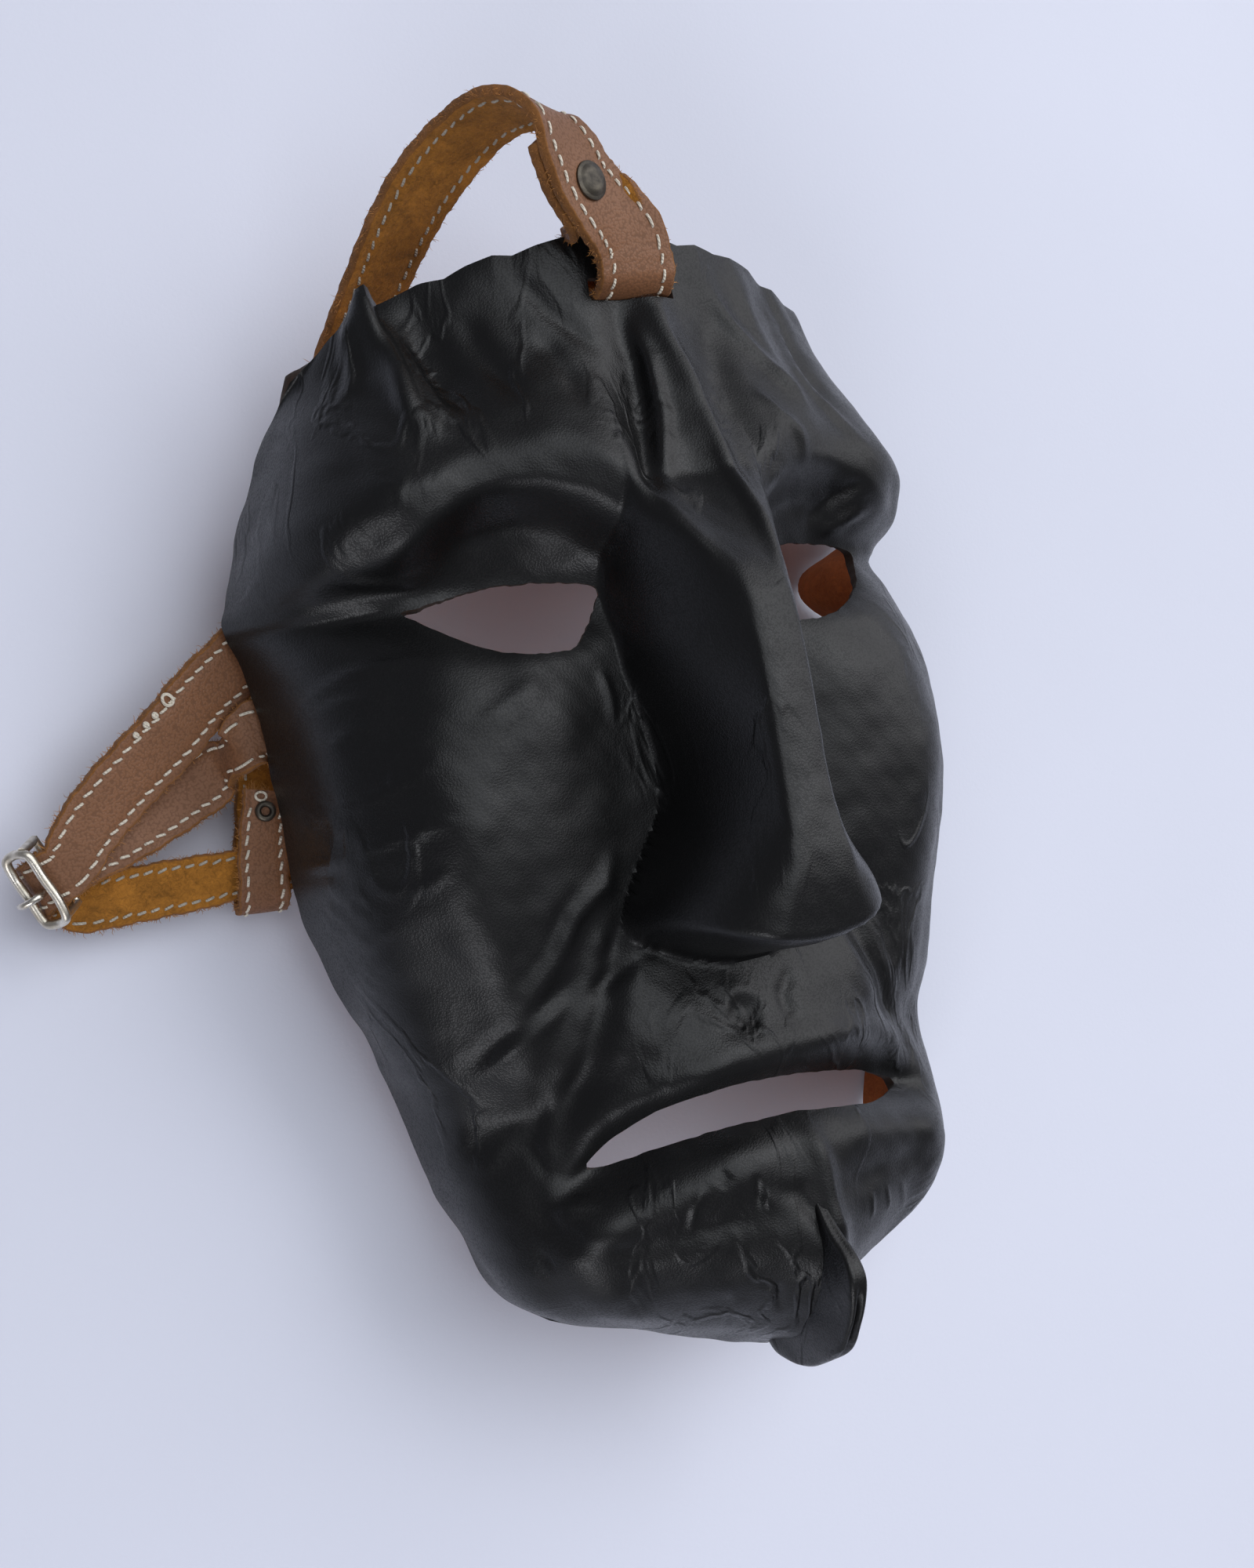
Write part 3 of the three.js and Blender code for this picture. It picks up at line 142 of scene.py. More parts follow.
# Creases and folds of the leather: height, half width, then points (place across, row)
CREASES = [
    (-1.3, 2.3, (-0.064, 105.5), (-0.052, 92.3), (-0.08, 77.5), (-0.128, 64.7), (-0.164, 55.9),
     (-0.152, 49.1)), (1.6, 2, (-0.03, 103), (-0.02, 92), (-0.03, 80), (-0.07, 70), (-0.12, 59)),
    (1.3, 1.9, (0.02, 105.1), (0.06, 90.7), (0.076, 79.9), (0.084, 67.1), (0.092, 55.5), (0.085, 44),
     (0.08, 33.5)), (1.2, 2, (0.276, 86.3), (0.32, 79.5), (0.372, 75.5), (0.404, 65.1)),
    (1.4, 2.4, (0.24, 114.1), (0.323, 101.4), (0.414, 90.1), (0.5, 81.1)),
    (1.6, 2.2, (0.529, 118.7), (0.564, 108.9), (0.522, 94.3), (0.582, 84.3), (0.659, 71.2)),
    (-1, 1.8, (0.644, 67.1), (0.563, 62.7), (0.5, 54.4)),
    (1, 2, (0.69, 61.3), (0.635, 56.7), (0.552, 52.4)),
    (1.4, 1.6, (-0.733, 119.5), (-0.75, 113.1), (-0.748, 99.1)),
    (1.8, 1.8, (-0.664, 116.2), (-0.648, 103), (-0.637, 85.1)),
    (1.3, 1.6, (-0.624, 112.7), (-0.594, 98.9), (-0.567, 90.7), (-0.52, 85.5)),
    (-1, 2, (-0.602, 111.8), (-0.56, 98.1), (-0.527, 90.4), (-0.487, 86.5)),
    (-1.2, 3.2, (-0.483, 112.6), (-0.44, 101), (-0.4, 91.9), (-0.387, 85.6)),
    (-0.8, 2.4, (-0.342, 116.5), (-0.258, 105.9), (-0.121, 93)),
    (-0.7, 2.6, (-0.301, 103.4), (-0.247, 91.1), (-0.242, 81.8)),
    (0.7, 1.2, (-0.823, 56.4), (-0.761, 52.8), (-0.651, 52.1)),
    (0.6, 1.1, (-0.954, 21), (-0.897, 28.3), (-0.836, 32.2), (-0.75, 33.6), (-0.683, 33.3)),
    (0.55, 1, (-0.909, 24.4), (-0.854, 26.4), (-0.8, 25.8), (-0.78, 24)),
    (0.6, 1, (-0.884, 17.1), (-0.852, 19.4), (-0.816, 21.2)),
    (0.6, 1, (-0.845, 12.6), (-0.87, 7.5), (-0.892, -1), (-0.915, -13.6), (-0.957, -24.8)),
    (0.7, 1.1, (-0.956, 1.9), (-0.89, 5.8), (-0.823, 7.6), (-0.736, 11.7), (-0.682, 16.7)),
    (0.8, 1.2, (-0.993, -6), (-0.908, -4.4), (-0.835, -1.8), (-0.717, 1.1), (-0.635, -0.2)),
    (0.6, 1, (-0.747, 4.4), (-0.772, -1.1), (-0.795, -6.7)),
    (0.5, 1, (-0.903, -23.5), (-0.863, -20.4), (-0.83, -18.8)),
    (0.5, 0.9, (-0.946, 1.4), (-0.915, 7.1), (-0.892, 10.6)),
    (0.5, 1.1, (-0.8, -14), (-0.773, -11.3), (-0.715, -8.1)),
    (0.6, 1.4, (-0.638, 17.2), (-0.549, 22.2), (-0.438, 27.2)),
    (0.5, 1.2, (-0.606, 15.8), (-0.516, 20.8), (-0.43, 25.1)),
    (0.5, 1, (-0.862, -9.7), (-0.883, -15.9), (-0.898, -23.4)),
    (0.5, 1.1, (-0.93, -36.1), (-0.89, -27.9), (-0.843, -24)),
    (1.4, 2.4, (-0.287, -8.5), (-0.356, -18.2), (-0.457, -22.9), (-0.537, -30.3), (-0.634, -36.4),
     (-0.715, -41.9)), (-1.2, 2, (-0.413, -17.2), (-0.485, -22.5), (-0.551, -30.1), (-0.705, -38.6)),
    (0.8, 1.6, (-0.44, -32), (-0.314, -27.3), (-0.283, -22.6)),
    (-1, 1.8, (-0.587, -44), (-0.42, -39), (-0.285, -33.5), (-0.226, -32.6)),
    (0.7, 1.6, (-0.207, 32.6), (-0.187, 24.7), (-0.16, 16.1), (-0.143, 6.4)),
    (0.5, 1.4, (-0.278, 28.1), (-0.255, 20.5), (-0.258, 14.3)),
    (-0.9, 1.8, (-0.827, -54.1), (-0.732, -46.2), (-0.577, -39.6), (-0.444, -35.3)),
    (0.7, 1.6, (-0.82, -56.6), (-0.719, -48.7), (-0.555, -42.3), (-0.426, -38.9)),
    (-0.9, 1.8, (-0.687, -58.7), (-0.703, -64.4), (-0.751, -71.5), (-0.736, -77.3), (-0.651, -77.7)),
    (0.9, 1.4, (-0.748, -86.7), (-0.693, -85.2), (-0.602, -83.4)),
    (0.7, 1.6, (-0.861, -77.9), (-0.811, -71.9), (-0.751, -67.3)),
    (0.6, 1.6, (-0.928, -77.9), (-0.88, -71.4), (-0.839, -65.9)),
    (-1.2, 3.4, (-0.12, -48.4), (-0.083, -50.6), (-0.015, -52.3)),
    (0.5, 1.8, (-0.13, -46.2), (-0.073, -45.7), (-0.017, -47.7), (0.005, -50.5)),
    (-0.9, 2, (0.134, -43.4), (0.07, -48.8), (0.075, -56.5)),
    (0.6, 0.9, (-0.333, -83.9), (-0.372, -88.7), (-0.387, -94.5)),
    (-0.8, 1.1, (-0.173, -84.1), (-0.165, -89.7), (-0.16, -92)),
    (0.5, 0.9, (-0.144, -87.8), (-0.142, -92.3)), (-0.5, 1.4, (-0.252, -82), (-0.293, -85.5)),
    (-0.4, 0.9, (-0.782, -93.2), (-0.807, -102.9)), (-0.4, 0.9, (-0.693, -87), (-0.715, -91.9)),
    (-0.4, 0.9, (-0.131, -108.9), (-0.108, -117.6)), (-0.4, 0.9, (-0.293, -111.4), (-0.292, -124.3)),
    (0.4, 0.8, (0.281, -97.1), (0.289, -104.7)), (0.4, 0.8, (0.361, -98.1), (0.402, -105.8)),
    (0.4, 0.8, (0.45, -99.5), (0.552, -111)),
    (2, 3, (0.049, -75.7), (0.061, -81.8), (0.067, -88.4), (0.067, -98.2), (0.142, -111.3)),
    (-1.2, 2.4, (-0.139, -87.9), (-0.029, -90.6), (0.033, -98.5), (0.116, -111.7)),
    (-0.7, 2.6, (-0.755, -74.5), (-0.773, -84.6), (-0.725, -91.9), (-0.572, -96.4), (-0.39, -95.6)),
]
# Height of the scalloped top edge above the even one: place across, rise
SCALLOPS = [
    (-1, 0), (-0.86, 0.4), (-0.78, 0), (-0.745, 2), (-0.725, 6.6), (-0.69, 7), (-0.66, 0.6), (-0.62, 0.9),
    (-0.56, 1.6), (-0.5, 0.2), (-0.45, 1.4), (-0.38, 1.8), (-0.33, 0.2), (-0.27, 1.2), (-0.2, 1.8),
    (-0.1, 1), (0.1, 0.4), (0.17, -0.6), (0.24, 0.8), (0.32, 0.2), (0.4, 1.6), (0.5, 1.8), (0.56, 0.2),
    (0.62, 1.4), (0.68, 0), (0.75, 1.2), (0.85, 0.2), (1, 0),
]

# Strap stations in the lying pose: x, y, z | direction across | width
SLOT_PASS = [
    (1.5, 117.6, 66.2, 0.99, -0.1, -0.12), (3.3, 115.4, 62.3, 0.99, 0.02, -0.12),
    (4.5, 112, 60.1, 0.99, 0.02, -0.12), (5, 108, 59.4, 0.99, 0.02, -0.12),
    (4.8, 104.7, 60.4, 0.99, 0.02, -0.12), (4.7, 102.9, 63.2, 0.99, 0.02, -0.12),
    (4.7, 102.9, 67.2, 0.99, 0.02, -0.12), (4.6, 104.5, 70.3, 0.99, 0.02, -0.12),
    (4.2, 107.4, 71.6, 0.99, 0.02, -0.12),
]
HEAD_FRONT = [
    (3.4, 111.2, 72.7, 0.99, 0.04, -0.12), (0.7, 115, 74.2, 0.98, 0.09, -0.19),
    (-3.5, 118.8, 76.2, 0.94, 0.17, -0.3), (-6.9, 122.8, 78, 0.9, 0.22, -0.36),
    (-10.5, 130, 80.2, 0.87, 0.18, -0.46), (-13.4, 135.6, 80.6, 0.74, 0.16, -0.65),
    (-16.5, 139, 77.6, 0.62, 0.04, -0.78), (-19.7, 140.6, 73, 0.56, -0.08, -0.82),
    (-23, 140.9, 66.5, 0.66, -0.13, -0.74), (-27.1, 139, 59, 0.75, -0.2, -0.63),
    (-31.8, 135, 51.5, 0.78, -0.23, -0.58), (-35.9, 129.8, 44.5, 0.79, -0.19, -0.58),
    (-41.6, 119.8, 32.5, 0.84, -0.05, -0.54), (-47.5, 107.9, 21.5, 0.9, 0.1, -0.41),
    (-54, 93, 12, 0.95, 0.18, -0.24), (-62, 74, 5.6, 0.95, 0.27, -0.1), (-68, 54, 2.2, 0.94, 0.34, 0, 17.5),
    (-75, 34, 1.6, 0.97, 0.2, 0, 14.5), (-80, 18, 1.6, 0.99, -0.1, 0, 12.4),
    (-83.4, 4, 1.6, 0.98, -0.17, 0, 11.4), (-85.6, -6, 1.6, 0.99, -0.1, 0, 11.4),
    (-86.4, -10.9, 2.2, 1, -0.06, 0, 11.4), (-86.9, -13.8, 4.8, 1, -0.06, 0, 11.4),
    (-86.9, -13.8, 8.6, 1, -0.06, 0, 11.4), (-86.7, -10.4, 12.1, 0.99, -0.1, 0, 11.4),
    (-86.1, -5, 12.7, 0.98, -0.15, 0, 11.2), (-85.3, 1, 13.6, 0.98, -0.17, 0, 10.9),
    (-84, 7, 14.2, 0.98, -0.17, 0, 10.2), (-83, 11.4, 14.4, 0.98, -0.17, 0, 9.8),
]
REAR_STRAP = [
    (55, 10.9, 1.6, 0.08, -0.99, 0), (30, 8.4, 1.6, 0.1, -0.99, 0), (-10, 3.6, 1.6, 0.12, -0.99, 0),
    (-42, -1, 1.8, 0.1, -0.99, 0, 17), (-60, -3.4, 4.6, 0.04, -0.99, -0.04, 14.5),
    (-72, -5.2, 7.4, 0.02, -0.99, -0.08, 12.4), (-81.5, -5.8, 8.4, 0, -0.99, -0.1, 11),
    (-91.7, -5.9, 8.5, -0.05, -0.99, -0.1, 11.2), (-100.3, -6.1, 8.4, -0.05, -0.99, -0.09, 12.2),
    (-109.9, -6.2, 8.1, -0.05, -0.99, -0.08, 12.5), (-117.8, -6.4, 7.7, -0.05, -0.99, -0.07, 12.5),
    (-124.5, -6.4, 7.2, -0.02, -0.99, -0.06, 12.5),
]
WIDE_RUN = [
    (-122.9, 8.3, 19.1, 0.45, -0.87, -0.22, 13.8), (-117.4, 13.8, 19.1, 0.52, -0.81, -0.28, 14.6),
    (-109.8, 20.2, 18.7, 0.61, -0.72, -0.34, 15), (-102.2, 26.2, 17.9, 0.59, -0.72, -0.36, 15.4),
    (-93.2, 34.4, 16.7, 0.61, -0.72, -0.34, 15.2), (-84, 41, 16, 0.62, -0.74, -0.26, 15.4),
    (-76.2, 47.8, 14.7, 0.62, -0.75, -0.2, 15.8), (-69, 55.5, 13.8, 0.62, -0.77, -0.15, 16),
]
SECOND_RUN = [
    (-79.6, 24.2, 18.5, 0, 1, 0, 15.4), (-83, 23.9, 17.8, 0, 1, 0, 15.4), (-86, 22.4, 17.7, 0, 1, 0, 14),
    (-88, 20.5, 17, 0, 1, 0, 10.4), (-89.2, 20, 15.3, 0, 1, 0, 9.4), (-90, 19.3, 13.2, 0, 1, 0, 9.4),
    (-91.4, 18.7, 11.3, -0.06, 0.99, -0.04, 12.6), (-94.2, 17, 10.5, -0.15, 0.97, -0.08, 15.2),
    (-98.5, 14.8, 10.5, -0.25, 0.95, -0.08, 15), (-106, 10.8, 11.2, -0.35, 0.93, -0.1, 14),
    (-114.6, 6.8, 12.2, -0.38, 0.92, -0.08, 13), (-120, 4.7, 13.6, -0.4, 0.91, 0, 12.6),
]
CROWN_RIVET_AT = (-6.9, 122.8, 78)
TAB_RIVET_AT = (-84, 7, 14)
# Buckle: centre of its bar, direction to its rails, direction of the bar, width; then its rails' radius,
# angles and shifts round the bar, and the prong's
BUCKLE_AT = np.array([-129.8, 1.3, 13.5])
BUCKLE_AHEAD = np.array([0.895, 0.43, -0.125])
BUCKLE_SIDE = np.array([0.41, -0.9, -0.15])
BUCKLE_WIDTH = 17.2
RAIL_R = 8.4
WIRE_R, BAR_R = 1.02, 0.98
NEAR, FAR = 122, 168
NEAR_SHIFT, FAR_SHIFT = -1.2, 1.6
PRONG_ANGLE, PRONG_SIDE = 144, 1.6
# Turned outlines of the rivets: radius and height over the strap's grain side
LOWER_CAP = [(0, -1.4), (2.2, -1.4), (3.1, -1.25), (3.8, -0.8), (4.15, 0), (1.6, 0)]
CAP = [(1.6, -0.3), (4.1, -0.3), (4.2, -0.05), (4.12, 0.25), (3.85, 0.42), (3.5, 0.5), (3.3, 0.62), (2.9, 1),
       (2.2, 1.28), (1.2, 1.4), (0.4, 1.42), (0, 1.42)]
ROLL = [(1.6, -0.3), (2.2, -0.3), (2.35, 0), (2.3, 0.4), (2.05, 0.75), (1.7, 0.9), (1.35, 0.85), (1.1, 0.6),
        (0.98, 0.2), (0.95, -0.55), (0.5, -0.6), (0, -0.6)]
FAR_OFF = 1e9

# Stage, in metres, degrees and watts; lights have name, place, aim, power, width and height, colour
FLOOR_HALF, FLOOR_Z = 3, -0.0004
LIGHTS = [
    ("window", (1.75, 0.75, 1.35), (0, 0, 0.03), 32, (2.4, 2.4), (0.97, 0.97, 1)),
    ("ceiling", (0.45, 0.45, 2), (0, 0, 0.03), 25, (2.2, 2.2), (0.92, 0.96, 1)),
    ("fill", (-0.9, -1.6, 1.1), (0, -0.1, 0), 12, (1.2, 0.8), (0.94, 0.95, 1)),
]
ROOM, ROOM_LIGHT = (0.84, 0.85, 0.95, 1), 0.2
CAMERA_AT = (-0.12969, -0.0206, 0.39757)
CAMERA_TURN = (6.7641, -21.927, -11.5597)
CAMERA_LENS = 39.15


# Curves and the face surface

def smooth(low, high, value):
    u = np.clip((value - low) / (high - low), 0, 1)
    return u * u * (3 - 2 * u)


def gauss(value, centre, width):
    return np.exp(-((value - centre) / width) ** 2)


def unit(v):
    return v / np.maximum(np.linalg.norm(v, axis=-1, keepdims=True), 1e-12)


def slopes(step, values):
    """Slopes at uneven stations along the last axis, weighted means of the neighbour slopes."""
    rise = np.diff(values, axis=-1) / step
    inner = (rise[..., :-1] * step[1:] + rise[..., 1:] * step[:-1]) / (step[:-1] + step[1:])
    return np.concatenate([rise[..., :1], inner, rise[..., -1:]], -1)


def hermite(u, step, a, b, slope_a, slope_b):
    return ((2 * u**3 - 3 * u**2 + 1) * a + (u**3 - 2 * u**2 + u) * step * slope_a
            + (3 * u**2 - 2 * u**3) * b + (u**3 - u**2) * step * slope_b)


def table_curve(rows):
    """Smooth curve through the rows of a table, keyed by their first number."""
    table = np.array(sorted(rows), float)
    knots, columns = table[:, 0], table[:, 1:].T
    step = np.diff(knots)
    slope = slopes(step, columns)

    def at(key):
        key = np.clip(key, knots[0], knots[-1])
        i = np.clip(np.searchsorted(knots, key) - 1, 0, len(step) - 1)
        u = (key - knots[i]) / step[i]
        return [hermite(u, step[i], c[i], c[i + 1], s[i], s[i + 1]) for c, s in zip(columns, slope)]
    return at


section_at = table_curve(SECTIONS)
nose_at = table_curve(NOSE)
brow_at = table_curve(BROW)


def base_form(s, row):
    """Face without features: s runs from the left rim, -1, to the right rim, 1."""
    mid, inner, outer, shoulder_x, shoulder_z, wall_x, wall_z, rim_x, rim_y, rim_z = section_at(row)
    xs = np.stack([0 * mid, 0.3 * shoulder_x, 0.68 * shoulder_x, shoulder_x, wall_x, rim_x], -1)
    zs = np.stack([mid, inner, outer, shoulder_z, wall_z, rim_z], -1)
    step = np.diff(SECTION_S)
    a = np.abs(s)
    i = np.clip(np.searchsorted(SECTION_S, a) - 1, 0, len(step) - 1)
    u = (a - SECTION_S[i]) / step[i]

    def section(values, flat_start):
        slope = slopes(step, values)
        if flat_start:
            slope[..., 0] = 0
        slope[..., -1] = 1.5 * slope[..., -1] - 0.5 * slope[..., -2]
        pick = [np.take_along_axis(v, j[..., None], -1)[..., 0] for v in (values, slope) for j in (i, i + 1)]
        return hermite(u, step[i], *pick)
    bend = a ** (1.1 + smooth(BOTTOM_Y, TOP_Y, row))
    tuck = np.where(s > 0, TUCK * gauss(row, 41, 10.5) * smooth(0.8, 1, a), 0)
    return np.sign(s) * section(xs, False) - tuck, row * (1 - bend) + rim_y * bend, section(zs, True)


def across_line(x, y, x0, y0, x1, y1):
    """Distance to the right of a line, and place along it from 0 to 1."""
    dx, dy = x1 - x0, y1 - y0
    long = dx * dx + dy * dy
    return ((x - x0) * dy - (y - y0) * dx) / math.sqrt(long), ((x - x0) * dx + (y - y0) * dy) / long


def features(x, y, z):
    """Nose, brows, eye sockets, cheeks, lips and forehead folds as a rise over the base form."""
    ax = np.abs(x)
    # Nose: its flanks fall from the flat ridge to the foot, and its underside runs back up to the lip.
    ridge, flat, foot, round_ = nose_at(np.clip(y, -45, 66))
    u = np.clip((ax - flat) / (foot - flat), 0, 1)
    flank = (1 - round_) * (1 - u) + round_ * np.sqrt(1 - u * u)
    crown = 1 - 0.035 * np.clip(ax / flat, 0, 1) ** 3 * (1 - round_)
    under = -36.5 + 8 * (x / 25) ** 2
    rise = np.maximum(ridge - z, 0) * flank * crown * smooth(under - 3.2, under + 2.4, y) * smooth(80, 60, y)
    # Brow with its plateau and lower edge, and the eye socket below it.
    crest, edge, socket = brow_at(ax)
    side = smooth(4, 14, ax) * smooth(90, 70, ax)
    plateau = smooth(crest - 12, crest + 1, y) * smooth(crest + 30, crest + 4, y)
    rise += (1.8 * gauss(y, crest - 3, 9) + 2.6 * plateau + 0.8 * gauss(y, edge + 1.5, 4)) * side
    rise -= socket * smooth(edge + 3, edge - 8, y) * smooth(30, 46, y)
    # Step at the temple, level with the eyes.
    off = y - 46.6
    up = smooth(-1.2, 1.2, off)
    temple = up * 1.6 * np.exp(-np.maximum(off, 0) / 9) - (1 - up) * np.exp(-np.maximum(-off, 0) / 5)
    rise += temple * smooth(56, 70, ax) * smooth(92, 84, ax)
    # Cheekbone, and the furrow from the nose to the corner of the mouth.
    rise += 2.5 * gauss(y, 22, 14) * gauss(ax, 42, 18)
    d, t = across_line(ax, y, 25, -22, 49, -76)
    rise += (-2.6 * gauss(d, 0, 3.2) - 1.8 * gauss(d, -7, 5)) * smooth(-0.05, 0.2, t) * smooth(1.15, 0.85, t)
    # Lips above and below the slot of the mouth, and the dip over the chin.
    lips = -70.8 - 8.2 * (ax / 44) ** 2
    wide = smooth(56, 42, ax)
    rise += wide * (-5 * gauss(y, lips - 0.5, 4.2) + 3.2 * gauss(y, lips + 11, 4.8)
                    + 2.2 * gauss(y, lips - 10, 6))
    rise -= 1.5 * gauss(y, -93, 4) * gauss(ax, 22, 14)
    for *line, height, width in FOLDS:
        d, t = across_line(x, y, *line)
        rise += height * gauss(d, 0, width) * smooth(-0.3, 0.2, t) * smooth(1.15, 0.6, t)
    return rise


def face_points(s, row):
    """Outer surface without its creases, in the modelling place."""
    x, y, z = base_form(s, row)
    return np.stack([x, y, z + features(x, y, z)], -1)


def face_normals(s, row):
    limit = 1 - 0.05 * smooth(-122, BOTTOM_Y, row)  # the edges run into each other at the jaw's corner
    s = np.clip(s, -limit, limit)
    along_s = face_points(np.minimum(s + 0.004, 1), row) - face_points(np.maximum(s - 0.004, -1), row)
    along_y = face_points(s, np.minimum(row + 0.4, TOP_Y)) - face_points(s, np.maximum(row - 0.4, BOTTOM_Y))
    return unit(np.cross(along_s, along_y))


def ripple(x, y, scale, seed):
    """Smooth irregular number between about -1 and 1 from a few crossed waves."""
    total = 0
    for k in range(5):
        angle = seed * 1.7 + k * 2.4
        wave = (1 + 0.45 * k) / scale
        total = total + np.sin((x * math.cos(angle) + y * math.sin(angle)) * wave + seed * 3.1 + k * 1.9)
    return total / 3.2


def crease_rise(points):
    """Rise along the normal of every crease, by distance to its line on the face."""
    rise = np.zeros(len(points))
    for height, width, *stations in CREASES:
        line = face_points(*np.array(stations, float).T)
        lengths = np.linalg.norm(np.diff(line, axis=0), axis=1)
        total = lengths.sum()
        apart = np.linalg.norm(points[:, None] - line[None], axis=2).min(1)
        close = np.where(apart < total * 0.6 + 4 * width)[0]
        p = points[close]
        best = np.full(len(p), FAR_OFF)
        along = np.zeros(len(p))
        start = 0
        for a, b, length in zip(line[:-1], line[1:], lengths):
            t = np.clip(((p - a) @ (b - a)) / length**2, 0, 1)
            d = np.linalg.norm(p - a - t[:, None] * (b - a), axis=1)
            along = np.where(d < best, (start + t * length) / total, along)
            best = np.minimum(best, d)
            start += length
        rise[close] += height * gauss(best, 0, width) * smooth(-0.02, 0.3, along) * smooth(1.02, 0.65, along)
    return rise


def outline_distance(x, y, outline):
    """Signed distance to a closed outline, negative inside it."""
    best = np.full(x.shape, FAR_OFF)
    inside = np.zeros(x.shape, bool)
    for (x0, y0), (x1, y1) in zip(outline, list(outline[1:]) + [outline[0]]):
        t = np.clip(((x - x0) * (x1 - x0) + (y - y0) * (y1 - y0)) / ((x1 - x0) ** 2 + (y1 - y0) ** 2), 0, 1)
        best = np.minimum(best, np.hypot(x - x0 - t * (x1 - x0), y - y0 - t * (y1 - y0)))
        if y0 != y1:
            inside ^= ((y0 > y) != (y1 > y)) & (x < (x1 - x0) * (y - y0) / (y1 - y0) + x0)
    return np.where(inside, -best, best)


def round_outline(outline):
    """The closed outline with its corners cut twice."""
    points = np.array(outline, float)
    for _ in range(2):
        after = np.roll(points, -1, axis=0)
        points = np.stack([points * 0.75 + after * 0.25, points * 0.25 + after * 0.75], 1).reshape(-1, 2)
    return points.tolist()


def opening_distance(s, row):
    x, y, _ = base_form(s, row)
    cuts = [outline_distance(x, y, round_outline(outline)) + rough * ripple(x, y, scale, seed)
            for outline, rough, scale, seed in ((EYE_LEFT, 0.22, 1.1, 2), (EYE_RIGHT, 0.22, 1.1, 2),
                                                (MOUTH, 0.1, 1.6, 5))]
    return np.minimum.reduce(cuts + [outline_distance(x, y, SLOT)])


def trimmed_grid(columns, rows):
    """Places of the nodes and triangles of a grid over the face with the openings cut out."""
    s, row = [a.ravel() for a in np.meshgrid(columns, rows)]
    value = opening_distance(s, row)
    wide, count = len(columns), len(s)
    column = np.arange(count) % wide
    # Nodes near a cut move onto it, up to 0.3 of the way to a node beyond it.
    best = np.full(count, 0.3)
    move = np.full(count, -1)
    for step in (1, -1, wide, -wide, wide + 1, -wide - 1):
        j = np.clip(np.arange(count) + step, 0, count - 1)
        mixed = ((value[j] > 0) != (value > 0)) & (np.abs(column[j] - column) <= 1)
        t = np.where(mixed, value / np.where(mixed, value - value[j], 1), 1)
        move = np.where(t < best, j, move)
        best = np.minimum(t, best)
    moved = move >= 0
    place = np.stack([s, row], 1)
    place = np.where(moved[:, None], place + (place[move] - place) * best[:, None], place)
    value = np.where(moved, 0, value)
    i = (np.arange(len(rows) - 1)[:, None] * wide + np.arange(wide - 1)).ravel()
    triangles = np.concatenate([np.stack([i, i + wide, i + wide + 1], 1),
                                np.stack([i, i + wide + 1, i + 1], 1)])
    v = value[triangles]
    out = triangles[(v >= 0).all(1) & (v > 0).any(1)].tolist()
    places = place.tolist()
    cut_nodes = {}

    def cut(*ends):
        a, b = sorted(ends)
        if (a, b) not in cut_nodes:
            t = value[a] / (value[a] - value[b])
            places.append(place[a] + (place[b] - place[a]) * t)
            cut_nodes[a, b] = len(places) - 1
        return cut_nodes[a, b]
    for corner in triangles[(v > 0).any(1) & (v < 0).any(1)].tolist():
        polygon = []
        for a, b in zip(corner, corner[1:] + corner[:1]):
            if value[a] >= 0:
                polygon.append(a)
            if value[a] * value[b] < 0:
                polygon.append(cut(a, b))
        out += [[polygon[0], polygon[k], polygon[k + 1]] for k in range(1, len(polygon) - 1)]
    return (*np.array(places).T, np.array(out))


def face_places(s, row):
    """Finished outer surface and its normals, in the modelling place."""
    # The mean of near places rounds off the features' sharp starts, as wet leather does.
    near = [(0, 0, 0.28), (0.009, 0, 0.18), (-0.009, 0, 0.18), (0, 1.1, 0.18), (0, -1.1, 0.18)]
    base = face_points(s, row)
    base[:, 2] = sum(
        share * features(*base_form(np.clip(s + ds, -1, 1), np.clip(row + dr, BOTTOM_Y, TOP_Y)))
        for ds, dr, share in near) + base_form(s, row)[2]
    normal = face_normals(s, row)
    x, y = base[:, 0], base[:, 1]
    rise = crease_rise(base)
    rise += 5.5 * np.exp(-np.abs(x - KEEL_X) / 5) * smooth(-92, -110, row) * smooth(-130.5, -122, row)
    rise += 0.16 * ripple(x, y, 5, 1) + 0.07 * ripple(x, y, 2.2, 4)
    # The steep flanks of the nose stay plain, because ridges there would run into the cheek.
    flank = smooth(38, 30, np.abs(x)) * smooth(-50, -40, row) * smooth(72, 60, row)
    rise *= 1 - flank * smooth(0.8, 0.4, normal[:, 2])
    points = base + normal * rise[:, None]
    scallop = np.interp(s, *np.array(SCALLOPS).T) * smooth(104, TOP_Y, row)
    points[:, 1] += scallop * 0.8
    points[:, 2] += scallop * 0.35
    points[:, 0] += np.sign(s) * smooth(0.94, 1, np.abs(s)) * 0.5 * ripple(row, row, 7, 3)
    return points, normal


def lying(points):
    """From the modelling place of the face to its lying pose."""
    out = np.asarray(points, float) @ LYING.T
    out[..., 2] += LIFT
    return out


# Straps

